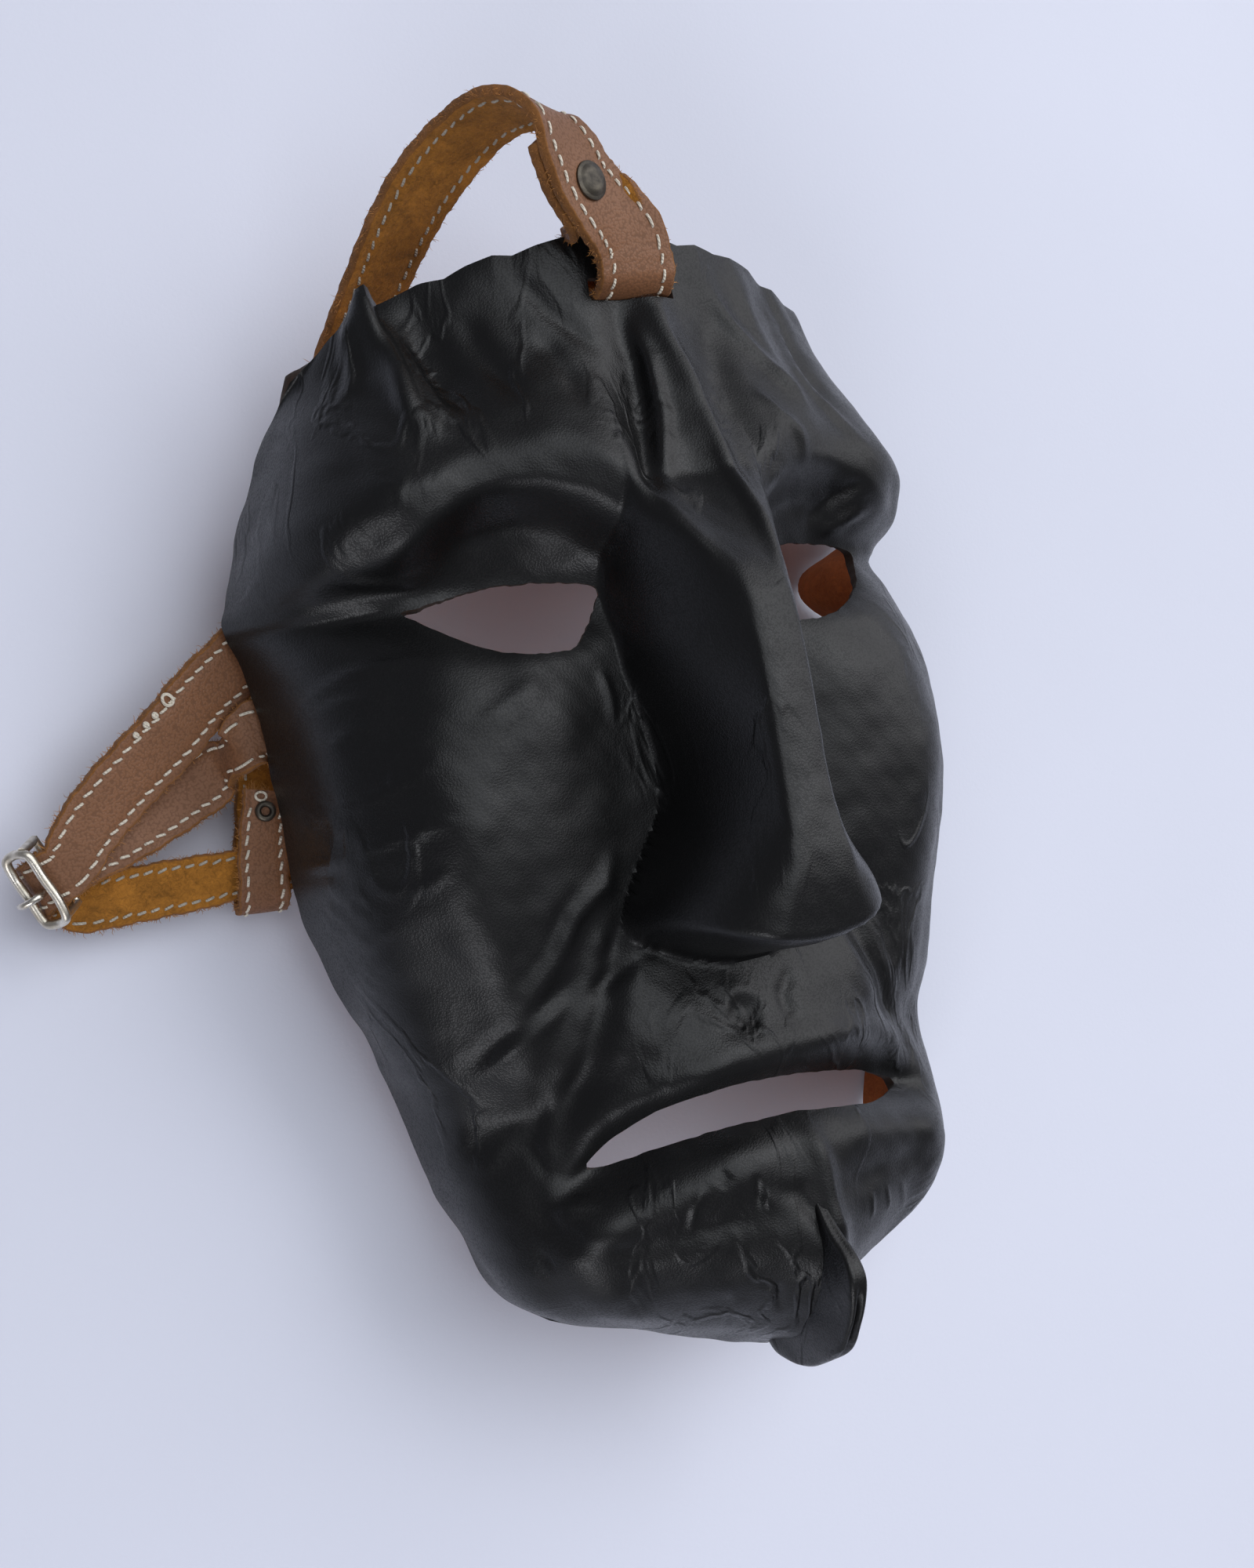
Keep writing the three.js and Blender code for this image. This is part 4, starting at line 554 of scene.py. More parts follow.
def catmull(points, t):
    """Centripetal spline through points at t in 0 to 1."""
    points = np.asarray(points, float)
    last = len(points) - 1
    padded = np.vstack([2 * points[0] - points[1], points, 2 * points[-1] - points[-2]])
    place = np.clip(np.asarray(t, float), 0, 1) * last
    i = np.minimum(place.astype(int), last - 1)
    u = (place - i)[:, None]
    p0, p1, p2, p3 = [padded[i + k] for k in range(4)]
    d0, d1, d2 = [np.maximum(np.linalg.norm(b - a, axis=1, keepdims=True) ** 0.5, 1e-4)
                  for a, b in ((p0, p1), (p1, p2), (p2, p3))]
    m1 = ((p1 - p0) / d0 - (p2 - p0) / (d0 + d1) + (p2 - p1) / d1) * d1
    m2 = ((p2 - p1) / d1 - (p3 - p1) / (d1 + d2) + (p3 - p2) / d2) * d1
    return p1 + m1 * u + (-3 * p1 + 3 * p2 - 2 * m1 - m2) * u**2 + (2 * p1 - 2 * p2 + m1 + m2) * u**3


def interp_columns(at, keys, values):
    return np.stack([np.interp(at, keys, column) for column in values.T], -1)


class Strap:
    """Middle line, directions, width and running length of a flat strap, at evenly spaced parameters."""

    def __init__(self, stations, count):
        full = np.array([(*p, STRAP_WIDTH)[:7] for p in stations], float)
        t = np.linspace(0, 1, count + 1)
        self.centre = catmull(full[:, :3], t)
        self.tangent = unit(catmull(full[:, :3], t + 1e-4) - catmull(full[:, :3], t - 1e-4))
        side = interp_columns(t * (len(full) - 1), np.arange(len(full)), full[:, 3:])
        self.width = side[:, 3]
        side = side[:, :3]
        self.across = unit(side - (side * self.tangent).sum(1, keepdims=True) * self.tangent)
        self.out = np.cross(self.across, self.tangent)
        self.run = np.concatenate([[0], np.cumsum(np.linalg.norm(np.diff(self.centre, axis=0), axis=1))])

    def at(self, run):
        """Centre, across, out, tangent and width at running lengths."""
        centre, *turns = [interp_columns(run, self.run, a)
                          for a in (self.centre, self.across, self.out, self.tangent)]
        return (centre, *map(unit, turns), np.interp(run, self.run, self.width))

    def nearest(self, point):
        """Number of the step that is nearest to a point."""
        return int(np.argmin(np.linalg.norm(self.centre - np.array(point), axis=1)))


BUCKLE_ALONG = unit(BUCKLE_AHEAD)
BUCKLE_ACROSS = unit(BUCKLE_SIDE - (BUCKLE_SIDE @ BUCKLE_ALONG) * BUCKLE_ALONG)
BUCKLE_OUT = np.cross(BUCKLE_ACROSS, BUCKLE_ALONG)


def on_buckle(along, side, out):
    """Place counted from the buckle's bar: ahead, along the bar and out."""
    return BUCKLE_AT + along * BUCKLE_ALONG + side * BUCKLE_ACROSS + out * BUCKLE_OUT


def round_bar(radius, angle, side):
    """Place round the buckle's bar: radius, angle in degrees, place along the bar."""
    a = math.radians(angle)
    return on_buckle(radius * math.cos(a), side, radius * math.sin(a))


def wall_station(s, row, sign, width):
    """Station of a strap end that lies a little inside the face wall."""
    s, row = np.array([float(s)]), np.array([float(row)])
    away = LEATHER + GAP + STRAP_THICK / 2 + 1.6
    place = lying(face_points(s, row) - away * face_normals(s, row))[0]
    step = (face_points(s, row + 6 * sign) - face_points(s, row - 6 * sign))[0]
    return (*place, *unit(LYING @ step), width)


def head_strap():
    """The head strap with its riveted end behind the front leg, and the front leg on its own."""
    front = Strap(HEAD_FRONT, FRONT_STEPS)
    stations = []
    for t in (0.16, 0.148, 0.135, 0.12, 0.105, 0.09):
        k = int(math.floor(t * FRONT_STEPS + 0.5))
        cut = LAP_CUT * smooth(0.09, 0.135, t)
        place = front.centre[k] - (STRAP_THICK + GAP + 0.1) * front.out[k] - cut / 2 * front.across[k]
        stations.append((*place, *front.across[k], STRAP_WIDTH - cut))
    return Strap(stations + [(-2.6, 118.9, 71.8, 0.95, 0.05, -0.2)] + SLOT_PASS + HEAD_FRONT,
                 HEAD_STEPS), front


def rear_strap():
    """The rear strap: from the right wall, round the buckle's bar and back as the wide upper run."""
    stations = [wall_station(s, row, -1, STRAP_WIDTH) for s, row in ((0.84, 15), (0.9, 14.5), (0.95, 14))]
    stations += [(71.5, 12.6, 4.2, 0.03, -1, 0), (65, 11.9, 1.9, 0.06, -1, 0)]
    turn = []
    for angle in range(270, 85, -23):
        late = ((angle - 86) / (270 - 86)) ** 3.4
        side = BUCKLE_ACROSS * (1 - late) + np.array([0, -0.99, -0.06]) * late
        turn.append((*round_bar(FOLD_R, angle, 8 * late), *side, FOLD_WIDTH))
    return Strap(stations + REAR_STRAP + turn + WIDE_RUN, REAR_STEPS)


def buckle_strap():
    """The buckle strap: from the left wall, with its end folded round the buckle's bar."""
    stations = [wall_station(s, 22, 1, 15.4) for s in (-0.85, -0.9, -0.94)]
    fold = [(5.5, 2.6), (1.6, 2.5), (-1.7, 1.8), (-2.5, 0), (-1.7, -1.8), (0.4, -2.45), (2.2, -2.5)]
    fold = [(*on_buckle(a, 0.35, o), *(-BUCKLE_ACROSS), FOLD_WIDTH) for a, o in fold]
    return Strap(stations + SECOND_RUN + fold, BUCKLE_STEPS)


# Mesh building

def new_piece(name, points, faces, kinds, finishes, angle, slot, *replaces):
    """Mesh object from points of the lying pose, in millimetres; it rides on the root body."""
    mesh = bpy.data.meshes.new(name)
    metres = (np.asarray(points, float) - SHIFT) / 1000
    mesh.from_pydata(metres.tolist(), [], [list(map(int, face)) for face in faces])
    for key in finishes:
        mesh.materials.append(finish(key))
    mesh.polygons.foreach_set("material_index", np.broadcast_to(np.int32(kinds), len(faces)).copy())
    mesh.polygons.foreach_set("use_smooth", np.ones(len(faces), bool))
    mesh.set_sharp_from_angle(angle=math.radians(angle))
    mesh.update()
    piece = bpy.data.objects.new(name, mesh)
    bpy.context.scene.collection.objects.link(piece)
    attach(piece, "root")
    if replaces:
        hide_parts(*replaces)


def ring_faces(rings, sides, closed=False, caps=True):
    """Quads between rings of points, wound outward for rings that run anticlockwise seen from ahead."""
    k = np.arange(rings if closed else rings - 1)[:, None] * sides
    c = np.arange(sides)
    up = (k + sides) % (rings * sides)
    after = (c + 1) % sides
    faces = np.stack([k + c, k + after, up + after, up + c], -1).reshape(-1, 4).tolist()
    if caps and not closed:
        faces.append(list(range(sides))[::-1])
        faces.append(list(range((rings - 1) * sides, rings * sides)))
    return faces


def circle(sides):
    """Cosines and sines of even angles, as columns."""
    angle = np.linspace(0, 2 * math.pi, sides, endpoint=False)
    return np.cos(angle)[:, None], np.sin(angle)[:, None]


def tube(path, radius, sides=12, closed=False):
    """Round tube of given radius, or radii, along a path; rings keep from twisting."""
    path = np.asarray(path, float)
    radius = np.broadcast_to(radius, len(path))
    ahead = np.roll(path, -1, axis=0) - np.roll(path, 1, axis=0) if closed else np.gradient(path, axis=0)
    ahead = unit(ahead)
    normal = unit(np.cross(ahead[0], [0.3, 0.2, 0.93]))
    cosine, sine = circle(sides)
    rings = []
    for p, r, a in zip(path, radius, ahead):
        normal = unit(normal - (normal @ a) * a)
        rings.append(p + r * (cosine * normal + sine * np.cross(a, normal)))
    return np.concatenate(rings), ring_faces(len(path), sides, closed)


def turned(profile, origin, axis, sides):
    """Solid turned round an axis from radius and height pairs that start and end on the axis."""
    first = unit(np.cross(axis, [0.2, 0.9, 0.1]))
    cosine, sine = circle(sides)
    round_ = cosine * first + sine * np.cross(axis, first)
    rings = [origin + h * axis + r * round_ for r, h in profile[1:-1]]
    points = np.concatenate(rings + [[origin + profile[0][1] * axis], [origin + profile[-1][1] * axis]])
    faces = ring_faces(len(rings), sides, caps=False)
    low, high = len(points) - 2, len(points) - 1
    top = (len(rings) - 1) * sides
    for c in range(sides):
        faces.append([low, (c + 1) % sides, c])
        faces.append([high, top + c, top + (c + 1) % sides])
    return points, faces


def merge(parts):
    """One list of points and faces from several, with a kind for each face."""
    points, faces, kinds, start = [], [], [], 0
    for p, f, kind in parts:
        points.append(p)
        faces += [[i + start for i in face] for face in f]
        kinds += [kind] * len(f)
        start += len(p)
    return np.concatenate(points), faces, kinds


# Node building

def feed(tree, node, **sockets):
    """Link or set sockets, named with _ for a space, or by i and their number; set_ names a setting."""
    for name, value in sockets.items():
        if name.startswith("set_"):
            setattr(node, name[4:], value)
            continue
        socket = node.inputs[int(name[1:]) if name[1:].isdigit() else name.replace("_", " ")]
        if isinstance(value, bpy.types.NodeSocket):
            tree.links.new(value, socket)
        else:
            socket.default_value = value
    return node


def add_node(tree, kind, **sockets):
    """New shader node of a kind, with its sockets and settings fed."""
    return feed(tree, tree.nodes.new("ShaderNode" + kind), **sockets)


def maths(tree, operation, a, b):
    return add_node(tree, "Math", set_operation=operation, i0=a, i1=b).outputs[0]


def blend(tree, a, share_a, b, share_b):
    """Weighted sum of two values."""
    return maths(tree, "ADD", maths(tree, "MULTIPLY", a, share_a), maths(tree, "MULTIPLY", b, share_b))


def ramp(tree, value, low, high, to_low=0.0, to_high=1.0):
    """Value that goes smoothly from to_low to to_high between low and high."""
    return add_node(tree, "MapRange", set_interpolation_type="SMOOTHSTEP", Value=value, From_Min=low,
                    From_Max=high, To_Min=to_low, To_Max=to_high).outputs["Result"]


def noise(tree, vector, scale, detail, rough, distortion=0.0):
    return add_node(tree, "TexNoise", Vector=vector, Scale=scale, Detail=detail, Roughness=rough,
                    Distortion=distortion).outputs["Fac"]


def mix_colour(tree, share, a, b):
    return add_node(tree, "Mix", set_data_type="RGBA", i0=share, i6=a, i7=b).outputs[2]


def scaled_place(tree, scale):
    """Object coordinates, in metres, times a number that is a socket or a plain value."""
    place = add_node(tree, "TexCoord").outputs["Object"]
    return add_node(tree, "VectorMath", set_operation="SCALE", i0=place, Scale=scale).outputs[0]


def shared_group(name, inputs, outputs):
    """Decorator of a function that fills a node group; the group is made when it is first asked for."""
    def wrap(fill):
        def group_of():
            if name not in bpy.data.node_groups:
                group = bpy.data.node_groups.new(name, "ShaderNodeTree")
                for socket, default in inputs.items():
                    made = group.interface.new_socket(socket, in_out="INPUT", socket_type="NodeSocketFloat")
                    made.default_value = default
                for socket in outputs:
                    group.interface.new_socket(socket, in_out="OUTPUT", socket_type="NodeSocketFloat")
                start, end = group.nodes.new("NodeGroupInput"), group.nodes.new("NodeGroupOutput")
                place = scaled_place(group, start.outputs[0])
                results = fill(group, place, *list(start.outputs)[1:len(inputs)])
                for result, socket in zip(results, end.inputs):
                    group.links.new(result, socket)
            return bpy.data.node_groups[name]
        return group_of
    return wrap


@shared_group("Leather Grain", {"Cells per Metre": 900.0, "Irregularity": 0.5}, ("Height", "Hollow"))
def grain_group(group, place, irregularity):
    """Pebbled leather grain with pores: height of the grain, and a mask of its hollows, for painted shade and
    roughness there.
    """
    warp = add_node(group, "TexNoise", Vector=place, Scale=0.6, Detail=2.0).outputs["Color"]
    moved = add_node(group, "VectorMath", set_operation="SCALE", i0=warp, Scale=irregularity).outputs[0]
    shifted = add_node(group, "VectorMath", set_operation="ADD", i0=place, i1=moved).outputs[0]
    cells = add_node(group, "TexVoronoi", set_feature="F1", Vector=shifted, Scale=1.0)
    pebble = ramp(group, cells.outputs["Distance"], 0.15, 0.75, 1.0, 0.0)
    height = blend(group, pebble, 0.65, noise(group, place, 2.2, 4.0, 0.6), 0.5)
    return height, ramp(group, pebble, 0.0, 0.35, 1.0, 0.0)


@shared_group("Handled Patches", {"Patches per Metre": 25.0, "Sharpness": 0.2}, ("Mask", "Speckle"))
def patch_group(group, place, sharpness):
    """Large uneven patches, as of handling and polish, between 0 and 1, and small specks."""
    wide = noise(group, place, 1.0, 5.0, 0.6, 0.3)
    low, high = [maths(group, operation, 0.52, sharpness) for operation in ("SUBTRACT", "ADD")]
    mask = add_node(group, "MapRange", Value=wide, From_Min=low, From_Max=high).outputs["Result"]
    return mask, ramp(group, noise(group, place, 42.0, 3.0, 0.7), 0.62, 0.75)


@shared_group("Rough Fibres", {"Fibres per Metre": 900.0}, ("Height", "Tone"))
def fibre_group(group, place):
    """Short matted fibres of a rough leather side: height and tone."""
    first = noise(group, place, 1.0, 5.0, 0.75, 1.6)
    second = noise(group, place, 0.13, 4.0, 0.7, 0.6)
    return blend(group, first, 0.7, second, 0.5), ramp(group, blend(group, first, 0.5, second, 0.5), 0.3, 0.7)


@shared_group("Fine Wrinkles", {"Wrinkles per Metre": 60.0}, ("Height",))
def wrinkle_group(group, place):
    """Fine branching wrinkles, as where stiff leather was pulled while wet: height between 0 and 1."""
    stretch = add_node(group, "VectorMath", set_operation="MULTIPLY", i0=place, i1=(1.0, 0.45, 1.0))
    wave = noise(group, stretch.outputs[0], 1.0, 3.0, 0.45, 0.9)
    off = maths(group, "ABSOLUTE", maths(group, "SUBTRACT", wave, 0.5), 0.5)
    share = ramp(group, noise(group, place, 0.35, 2.0, 0.5), 0.45, 0.62)
    return (maths(group, "MULTIPLY", ramp(group, off, 0.0, 0.05, 1.0, 0.0), share),)


def start_material(name):
    material = bpy.data.materials.new(name)
    material.use_nodes = True
    tree = material.node_tree
    return material, tree, tree.nodes["Principled BSDF"]


def use_group(tree, group, **values):
    return add_node(tree, "Group", set_node_tree=group, **values).outputs


def bump(tree, height, distance, strength=1.0, **normal):
    return add_node(tree, "Bump", Height=height, Distance=distance, Strength=strength, **normal).outputs[0]


def rgba(colour, times=1.0):
    """A colour made lighter or darker, with full alpha."""
    return (*[v * times for v in colour[:3]], 1.0)


def leather_material(name, colour, dark, light, rough, cells, depth, patches, wrinkles, scuff):
    """Grained leather with uneven tone and gloss, and painted shade in the grain's hollows; scuff is the
    colour that shows where it is rubbed.
    """
    material, tree, shader = start_material(name)
    grain = use_group(tree, grain_group(), Cells_per_Metre=cells, Irregularity=0.6)
    patch = use_group(tree, patch_group(), Patches_per_Metre=patches, Sharpness=0.22)
    base = mix_colour(tree, patch["Mask"], rgba(colour, dark), rgba(colour, light))
    # Painted shade: the grain's hollows are darkened towards a deeper tone of the same colour.
    base = mix_colour(tree, maths(tree, "MULTIPLY", grain["Hollow"], 0.45), base, rgba(colour, dark * 0.55))
    base = mix_colour(tree, maths(tree, "MULTIPLY", patch["Speckle"], 0.35), base, rgba(scuff))
    gloss = ramp(tree, patch["Mask"], 0.0, 1.0, rough[1], rough[0])
    gloss = maths(tree, "ADD", gloss, maths(tree, "MULTIPLY", grain["Hollow"], 0.12))
    normal = bump(tree, noise(tree, scaled_place(tree, 1.0), 210.0, 3.0, 0.55), depth * 3.0, 0.5)
    if wrinkles:
        fine = use_group(tree, wrinkle_group(), Wrinkles_per_Metre=55.0)["Height"]
        normal = bump(tree, fine, wrinkles, 0.7, Normal=normal)
    normal = bump(tree, grain["Height"], depth, Normal=normal)
    feed(tree, shader, Base_Color=base, Roughness=gloss, Specular_IOR_Level=0.34, Normal=normal)
    return material


def suede_material(name, colour, dark, light, fibres, depth=0.0004):
    """Rough leather side or cut edge with matted fibres; depth is their height in metres."""
    material, tree, shader = start_material(name)
    fibre = use_group(tree, fibre_group(), Fibres_per_Metre=fibres)
    patch = use_group(tree, patch_group(), Patches_per_Metre=60.0, Sharpness=0.3)
    base = mix_colour(tree, fibre["Tone"], rgba(colour, dark), rgba(colour, light))
    base = mix_colour(tree, maths(tree, "MULTIPLY", patch["Mask"], 0.4), base, rgba(colour, dark * 0.8))
    feed(tree, shader, Base_Color=base, Roughness=0.92, Specular_IOR_Level=0.25, Sheen_Weight=0.08,
         Sheen_Roughness=0.5, Normal=bump(tree, fibre["Height"], depth))
    return material


def thread_material(name, colour):
    """Waxed thread with a slanting twist and fine fibres."""
    material, tree, shader = start_material(name)
    fibre = use_group(tree, fibre_group(), Fibres_per_Metre=2600.0)
    twist = add_node(tree, "TexWave", set_bands_direction="DIAGONAL", Vector=scaled_place(tree, 1.0),
                     Scale=620.0, Distortion=2.0, Detail=1.0).outputs["Fac"]
    normal = bump(tree, fibre["Height"], 0.00012, 0.7, Normal=bump(tree, twist, 0.0002))
    feed(tree, shader, Base_Color=mix_colour(tree, fibre["Tone"], rgba(colour, 0.72), rgba(colour)),
         Roughness=0.7, Sheen_Weight=0.15, Normal=normal)
    return material


def metal_material(name, colour, worn, rough, metal=1.0):
    """Metal with worn patches and fine scratches."""
    material, tree, shader = start_material(name)
    patch = use_group(tree, patch_group(), Patches_per_Metre=320.0, Sharpness=0.18)["Mask"]
    scratches = noise(tree, scaled_place(tree, 1.0), 2400.0, 2.0, 0.6)
    gloss = ramp(tree, patch, 0.0, 1.0, rough[1], rough[0])
    feed(tree, shader, Base_Color=mix_colour(tree, patch, rgba(worn), rgba(colour)), Metallic=metal,
         Roughness=gloss, Normal=bump(tree, scratches, 0.00005, 0.6))
    return material


def floor_material(name, colour):
    """Paper-like backdrop, a little cloudy."""
    material, tree, shader = start_material(name)
    place = scaled_place(tree, 1.0)
    cloud = ramp(tree, noise(tree, place, 2.2, 4.0, 0.5), 0.3, 0.7)
    paper = noise(tree, place, 900.0, 3.0, 0.6)
    feed(tree, shader, Base_Color=mix_colour(tree, cloud, rgba(colour, 0.96), rgba(colour, 1.03)),
         Roughness=0.75, Normal=bump(tree, paper, 0.0001, 0.4))
    return material


# Settings

def size_property(name, note, default, low):
    return FloatProperty(name=name, description=note, default=default, min=low)


def colour_property(name, note, *default):
    return FloatVectorProperty(name=name, description=note, subtype="COLOR", default=default)


class MaskSizes(bpy.types.PropertyGroup):
    """Sizes of the fine parts; lengths are in millimetres."""
    columns: IntProperty(name="Face Columns", description="Grid lines across the face", default=219, min=40)
    rows: IntProperty(name="Face Rows", description="Grid lines down the face", default=216, min=40)
    stitch_pitch: size_property("Stitch Pitch", "From one stitch to the next", 3.0, 1.0)
    stitch_length: size_property("Stitch Length", "Thread seen between two holes", 2.35, 0.5)
    thread_radius: size_property("Thread Radius", "Half the thread's thickness", 0.36, 0.1)
    margin: size_property("Stitch Margin", "Share of the width, from the edge to the stitches", 0.165, 0.05)
    fibres: size_property("Edge Fibres", "Loose fibres per millimetre of cut edge", 3.6, 0.0)


class MaskColours(bpy.types.PropertyGroup):
    """Colours of the finishes."""
    black: colour_property("Mask Leather", "Black grain side", 0.0052, 0.0052, 0.0054)
    lining: colour_property("Mask Lining", "Rough inner side of the mask", 0.60, 0.19, 0.055)
    brown: colour_property("Strap Leather", "Grain side of the straps", 0.215, 0.095, 0.044)
    suede: colour_property("Strap Suede", "Rough side of the straps", 0.38, 0.155, 0.022)
    thread: colour_property("Thread", "Waxed cream thread", 0.88, 0.80, 0.66)
    nickel: colour_property("Buckle", "Pale nickel", 0.82, 0.78, 0.70)
    bronze: colour_property("Rivets", "Dark bronze", 0.13, 0.115, 0.09)
    floor: colour_property("Backdrop", "Pale stage", 0.74, 0.76, 0.87)


def sizes():
    return bpy.context.scene.mask_sizes


def finish(key):
    """The material of a finish, made the first time that it is asked for."""
    if key in bpy.data.materials:
        return bpy.data.materials[key]
    c = bpy.context.scene.mask_colours
    maker, *values = {
        "mask_black": (leather_material, c.black, 0.72, 1.35, (0.24, 0.40), 2100.0, 0.00003, 24.0, 0.00035,
                       (0.025, 0.021, 0.019)),
        "mask_lining": (suede_material, c.lining, 0.6, 1.15, 700.0),
        "mask_edge": (suede_material, (0.035, 0.018, 0.011), 0.6, 1.3, 900.0, 0.0002),
        "strap_grain": (leather_material, c.brown, 0.82, 1.12, (0.42, 0.56), 1700.0, 0.00006, 45.0, 0.0,
                        (0.26, 0.13, 0.07)),
        "strap_suede": (suede_material, c.suede, 0.4, 1.65, 900.0),
        "strap_edge": (suede_material, (0.30, 0.125, 0.035), 0.5, 1.25, 1200.0),
        "loose_fibre": (suede_material, (0.52, 0.235, 0.07), 0.7, 1.2, 3000.0, 0.0001),
        # Painted shade: a darker copy of the cream thread, for the stitches on the suede side.
        "cream_thread": (thread_material, c.thread),
        "dull_thread": (thread_material, [0.62 * v for v in c.thread]),
        "pale_nickel": (metal_material, c.nickel, (0.50, 0.45, 0.36), (0.24, 0.42)),
        "dark_bronze": (metal_material, c.bronze, (0.06, 0.055, 0.05), (0.42, 0.6)),
        # Painted shade: near black and not metal, for the inside of the tube rivet's bore.
        "rivet_bore": (metal_material, (0.012, 0.011, 0.01), (0.02, 0.018, 0.016), (0.6, 0.8), 0.0),
        "pale_backdrop": (floor_material, c.floor),
    }[key]
    return maker(key, *values)


# Pieces

def shell_piece():
    """The moulded face: grained outside, rough lining one thickness behind it, and the cut edges between."""
    z = sizes()
    # Columns stand closer together over the nose, out to this share of the half width.
    dense, fine = 0.42, int(z.columns * 0.3)
    half = np.concatenate([np.linspace(0, dense, fine, endpoint=False),
                           np.linspace(dense, 1, z.columns // 2 + 1 - fine)])
    columns = np.concatenate([-half[:0:-1], half])
    s, row, triangles = trimmed_grid(columns, np.linspace(TOP_Y, BOTTOM_Y, z.rows))
    used, inverse = np.unique(triangles, return_inverse=True)
    triangles = inverse.reshape(triangles.shape)
    outer, normal = face_places(s[used], row[used])
    count = len(outer)
    inner = outer - normal * (LEATHER - 0.1)
    inner += normal * (0.12 * ripple(outer[:, 0], outer[:, 1], 1.5, 7))[:, None]
    edges = {}
    for corner in triangles.tolist():
        for i, j in zip(corner, corner[1:] + corner[:1]):
            if edges.pop((j, i), None) is None:
                edges[i, j] = True
    rim = np.unique(list(edges))
    place = {int(v): 2 * count + k for k, v in enumerate(rim)}
    # One ring inside each cut edge rounds the knife cut a little.
    around = np.zeros((count, 3))
    for i, j in edges:
        away = np.cross(unit(outer[j] - outer[i]), normal[i])
        around[i] += away
        around[j] += away
    middle = (outer[rim] + inner[rim]) / 2 + unit(around[rim]) * 0.35
    faces = triangles.tolist() + (triangles[:, ::-1] + count).tolist()
    kinds = [0] * len(triangles) + [1] * len(triangles)
    for i, j in edges:
        faces += [[j, i, place[i], place[j]], [place[j], place[i], i + count, j + count]]
        kinds += [2, 2]
    new_piece("mask_face", lying(np.concatenate([outer, inner, middle])), faces, kinds,
              ("mask_black", "mask_lining", "mask_edge"), 50, "mask_leather", "mask_shell")


def keel_piece():
    """Keel on the chin: leather folded double, its two layers parting along the free edge."""
    t = np.linspace(0, 1, 90)
    edge, root = [catmull([(0, *p) for p in line], t) for line in (KEEL_EDGE, KEEL_ROOT)]
    rings = []
    for t, e, r in zip(t, edge, root):
        out = unit(e - r)
        reach = np.linalg.norm(e - r)
        open_ = smooth(0.34, 0.46, t) * smooth(0.97, 0.86, t)
        half = KEEL_HALF * (0.55 + 0.45 * smooth(0, 0.25, t)) + 0.15 * math.sin(t * 23)
        lean = 0.5 * math.sin(t * 7 + 1) * smooth(0.3, 0.6, t)
        for x, depth in ((-1.25, reach), (-1.1, reach * 0.6), (-1.02, reach * 0.3), (-1, 1.5), (-0.95, 0.75),
                         (-0.78, 0.22), (-0.55, 0), (-0.32, 0.12 + 0.25 * open_), (-0.14, 0.2 + 1.3 * open_),
                         (0, 0.24 + 2.1 * open_), (0.14, 0.2 + 1.3 * open_), (0.32, 0.16 + 0.3 * open_),
                         (0.55, 0.06), (0.78, 0.28), (0.95, 0.8), (1, 1.6), (1.02, reach * 0.3),
                         (1.1, reach * 0.6), (1.25, reach)):
            depth = min(depth, reach)
            rings.append(e - out * depth + np.array([KEEL_X + x * half + lean * (1 - depth / reach), 0, 0]))
    points = np.array(rings)
    points[:, 0] += 0.12 * ripple(points[:, 1], points[:, 2], 3, 6)
    faces = [f[::-1] for f in ring_faces(len(edge), len(points) // len(edge))]
    new_piece("chin_keel", lying(points), faces, 0, ("mask_black",), 70, "mask_leather")


def strap_section(width):
    """Outline across a strap of this width: x, height and kind of face that follows each point."""
    flat, groove = width / 2 - CORNER_R, width / 2 * (1 - 2 * sizes().margin)
    high = STRAP_THICK / 2
    out = []
    for sign, kind in ((1, 0), (-1, 1)):
        for share in (-1, -0.9, -0.79, -0.7, -0.61, -0.4, 0, 0.4, 0.61, 0.7, 0.79, 0.9, 1):
            x = share * flat
            out.append((sign * x, sign * (high - GROOVE_DEPTH * gauss(abs(x), groove, GROOVE_SPREAD)), kind))
        for angle in (30, 60, 90, 120, 150):
            a = math.radians(angle)
            rise = (high - CORNER_R) * np.sign(90 - angle) + CORNER_R * math.cos(a)
            out.append((sign * (flat + CORNER_R * math.sin(a)), sign * rise, 2))
    return out


def strap_piece(name, strap, node):
    """One strap: grain side out, suede behind, fuzzy cut edges."""
    points = []
    for run, width, centre, across, out in zip(strap.run, strap.width, strap.centre, strap.across, strap.out):
        right = 0.16 * math.sin(run * 0.9 + 1) + 0.1 * math.sin(run * 2.3)
        left = 0.16 * math.sin(run * 0.8 + 4) + 0.1 * math.sin(run * 2.7 + 2)
        section = strap_section(width)
        for x, high, _ in section:
            x += (right if x > 0 else left) * (abs(x) / (width / 2)) ** 3
            points.append(centre + across * x + out * high)
    kinds = [kind for _, _, kind in section]
    faces = [f[::-1] for f in ring_faces(len(strap.run), len(kinds))]
    # A face runs from a point to the next one, so the corner before a side belongs to the edge.
    kinds = [2 if 2 in (a, b) else a for a, b in zip(kinds, kinds[1:] + kinds[:1])]
    new_piece(name, points, faces, kinds * (len(strap.run) - 1) + [2, 2],
              ("strap_grain", "strap_suede", "strap_edge"), 60, "strap_leather", node)


